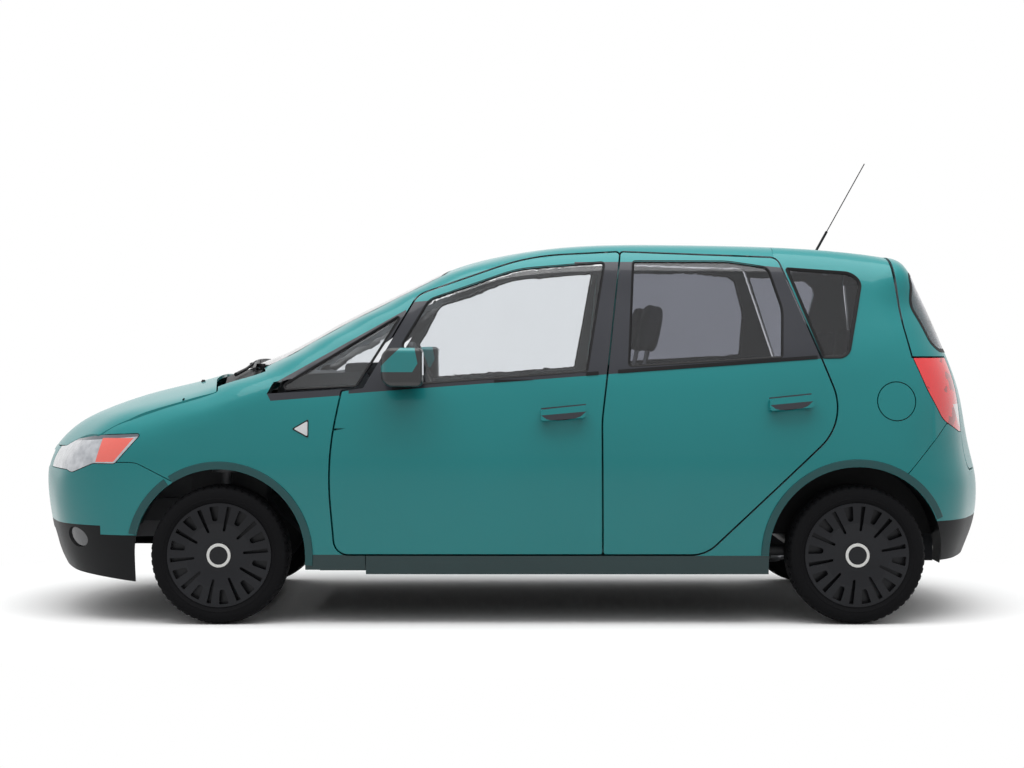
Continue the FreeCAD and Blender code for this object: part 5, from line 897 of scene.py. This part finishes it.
def pale_floor():
    """A pale floor that keeps the car's shadow and runs out into the white background."""
    corners = [(-FLOOR_REACH, -FLOOR_REACH, 0), (FLOOR_REACH, -FLOOR_REACH, 0), (FLOOR_REACH, FLOOR_REACH, 0),
               (-FLOOR_REACH, FLOOR_REACH, 0)]
    mesh = bpy.data.meshes.new("floor")
    mesh.from_pydata(corners, [], [(0, 1, 2, 3)])
    made = bpy.data.objects.new("floor", mesh)
    bpy.context.scene.collection.objects.link(made)
    material = bpy.data.materials.new("floor")
    material.use_nodes = True
    tree = material.node_tree
    matt = tree.nodes["Principled BSDF"]
    matt.inputs["Roughness"].default_value = 0.9
    matt.inputs["Specular IOR Level"].default_value = 0.0
    place = tree.nodes.new("ShaderNodeTexCoord")
    squeeze = tree.nodes.new("ShaderNodeVectorMath")
    squeeze.operation = "MULTIPLY"
    squeeze.inputs[1].default_value = (1.0, 1.6, 0.0)
    away = tree.nodes.new("ShaderNodeVectorMath")
    away.operation = "LENGTH"
    fade = tree.nodes.new("ShaderNodeMapRange")
    fade.inputs["From Min"].default_value = FADE_FROM
    fade.inputs["From Max"].default_value = FADE_TO
    path = tree.nodes.new("ShaderNodeLightPath")
    seen = tree.nodes.new("ShaderNodeMath")
    seen.operation = "MULTIPLY"
    glow = tree.nodes.new("ShaderNodeEmission")
    blend = tree.nodes.new("ShaderNodeMixShader")
    pale = tree.nodes.new("ShaderNodeMix")
    pale.data_type = "RGBA"
    pale.inputs[6].default_value = (FLOOR_SHADE, FLOOR_SHADE, FLOOR_SHADE, 1.0)
    pale.inputs[7].default_value = (FLOOR_SHOWN, FLOOR_SHOWN, FLOOR_SHOWN, 1.0)
    links = tree.links
    links.new(seen_rays(tree), pale.inputs[0])
    links.new(pale.outputs[2], matt.inputs["Base Color"])
    links.new(place.outputs["Object"], squeeze.inputs[0])
    links.new(squeeze.outputs[0], away.inputs[0])
    links.new(away.outputs["Value"], fade.inputs["Value"])
    links.new(fade.outputs["Result"], seen.inputs[0])
    links.new(path.outputs["Is Camera Ray"], seen.inputs[1])
    links.new(seen.outputs[0], blend.inputs["Fac"])
    links.new(matt.outputs[0], blend.inputs[1])
    links.new(glow.outputs[0], blend.inputs[2])
    links.new(blend.outputs[0], tree.nodes["Material Output"].inputs["Surface"])
    mesh.materials.append(material)


def white_world(low, high):
    """A pale sky, dimmer towards the horizon, that shows plain white straight, mirrored or through glass."""
    world = bpy.data.worlds.new("studio")
    bpy.context.scene.world = world
    world.use_nodes = True
    tree = world.node_tree
    lit = tree.nodes["Background"]
    lit.inputs["Color"].default_value = (1.0, 1.0, 1.0, 1.0)
    direction = tree.nodes.new("ShaderNodeTexCoord")
    split = tree.nodes.new("ShaderNodeSeparateXYZ")
    grade = tree.nodes.new("ShaderNodeMapRange")
    grade.inputs["From Min"].default_value = 0.0
    grade.inputs["From Max"].default_value = 0.8
    grade.inputs["To Min"].default_value = low
    grade.inputs["To Max"].default_value = high
    tree.links.new(direction.outputs["Generated"], split.inputs[0])
    tree.links.new(split.outputs["Z"], grade.inputs["Value"])
    tree.links.new(grade.outputs["Result"], lit.inputs["Strength"])
    plain = tree.nodes.new("ShaderNodeBackground")
    plain.inputs["Color"].default_value = (1.0, 1.0, 1.0, 1.0)
    plain.inputs["Strength"].default_value = 1.0
    blend = tree.nodes.new("ShaderNodeMixShader")
    links = tree.links
    links.new(seen_rays(tree), blend.inputs["Fac"])
    links.new(lit.outputs[0], blend.inputs[1])
    links.new(plain.outputs[0], blend.inputs[2])
    links.new(blend.outputs[0], tree.nodes["World Output"].inputs["Surface"])


def soft_light(name, place, target, wide, tall, power):
    """A large soft light aimed at a point."""
    light = bpy.data.lights.new(name, "AREA")
    light.shape = "RECTANGLE"
    light.size = wide
    light.size_y = tall
    light.energy = power
    made = bpy.data.objects.new(name, light)
    made.location = place
    made.rotation_euler = (Vector(target) - Vector(place)).to_track_quat("-Z", "Y").to_euler()
    bpy.context.scene.collection.objects.link(made)


CAMERA_AWAY = 9.1
CAMERA_HEIGHT = 1.1
LENS = 74.4
SENSOR = 36.0
HORIZON_SHIFT = -40.1 / 1024

SKY_LOW, SKY_HIGH = 0.15, 1.15
LAMP_PLACE, LAMP_AIM = (0.0, -1.5, 6.0), (0.0, 0.0, 0.5)
LAMP_WIDE, LAMP_TALL, LAMP_POWER = 7.0, 5.0, 300.0

pale_floor()
white_world(SKY_LOW, SKY_HIGH)
soft_light("overhead", LAMP_PLACE, LAMP_AIM, LAMP_WIDE, LAMP_TALL, LAMP_POWER)

camera = bpy.data.cameras.new("camera")
camera.sensor_width = SENSOR
camera.lens = LENS
camera.shift_y = HORIZON_SHIFT
holder = bpy.data.objects.new("camera", camera)
holder.location = (0.0, -CAMERA_AWAY, CAMERA_HEIGHT)
holder.rotation_euler = (math.radians(90), 0.0, 0.0)
bpy.context.scene.collection.objects.link(holder)
bpy.context.scene.camera = holder
bpy.context.scene.view_settings.view_transform = "Standard"
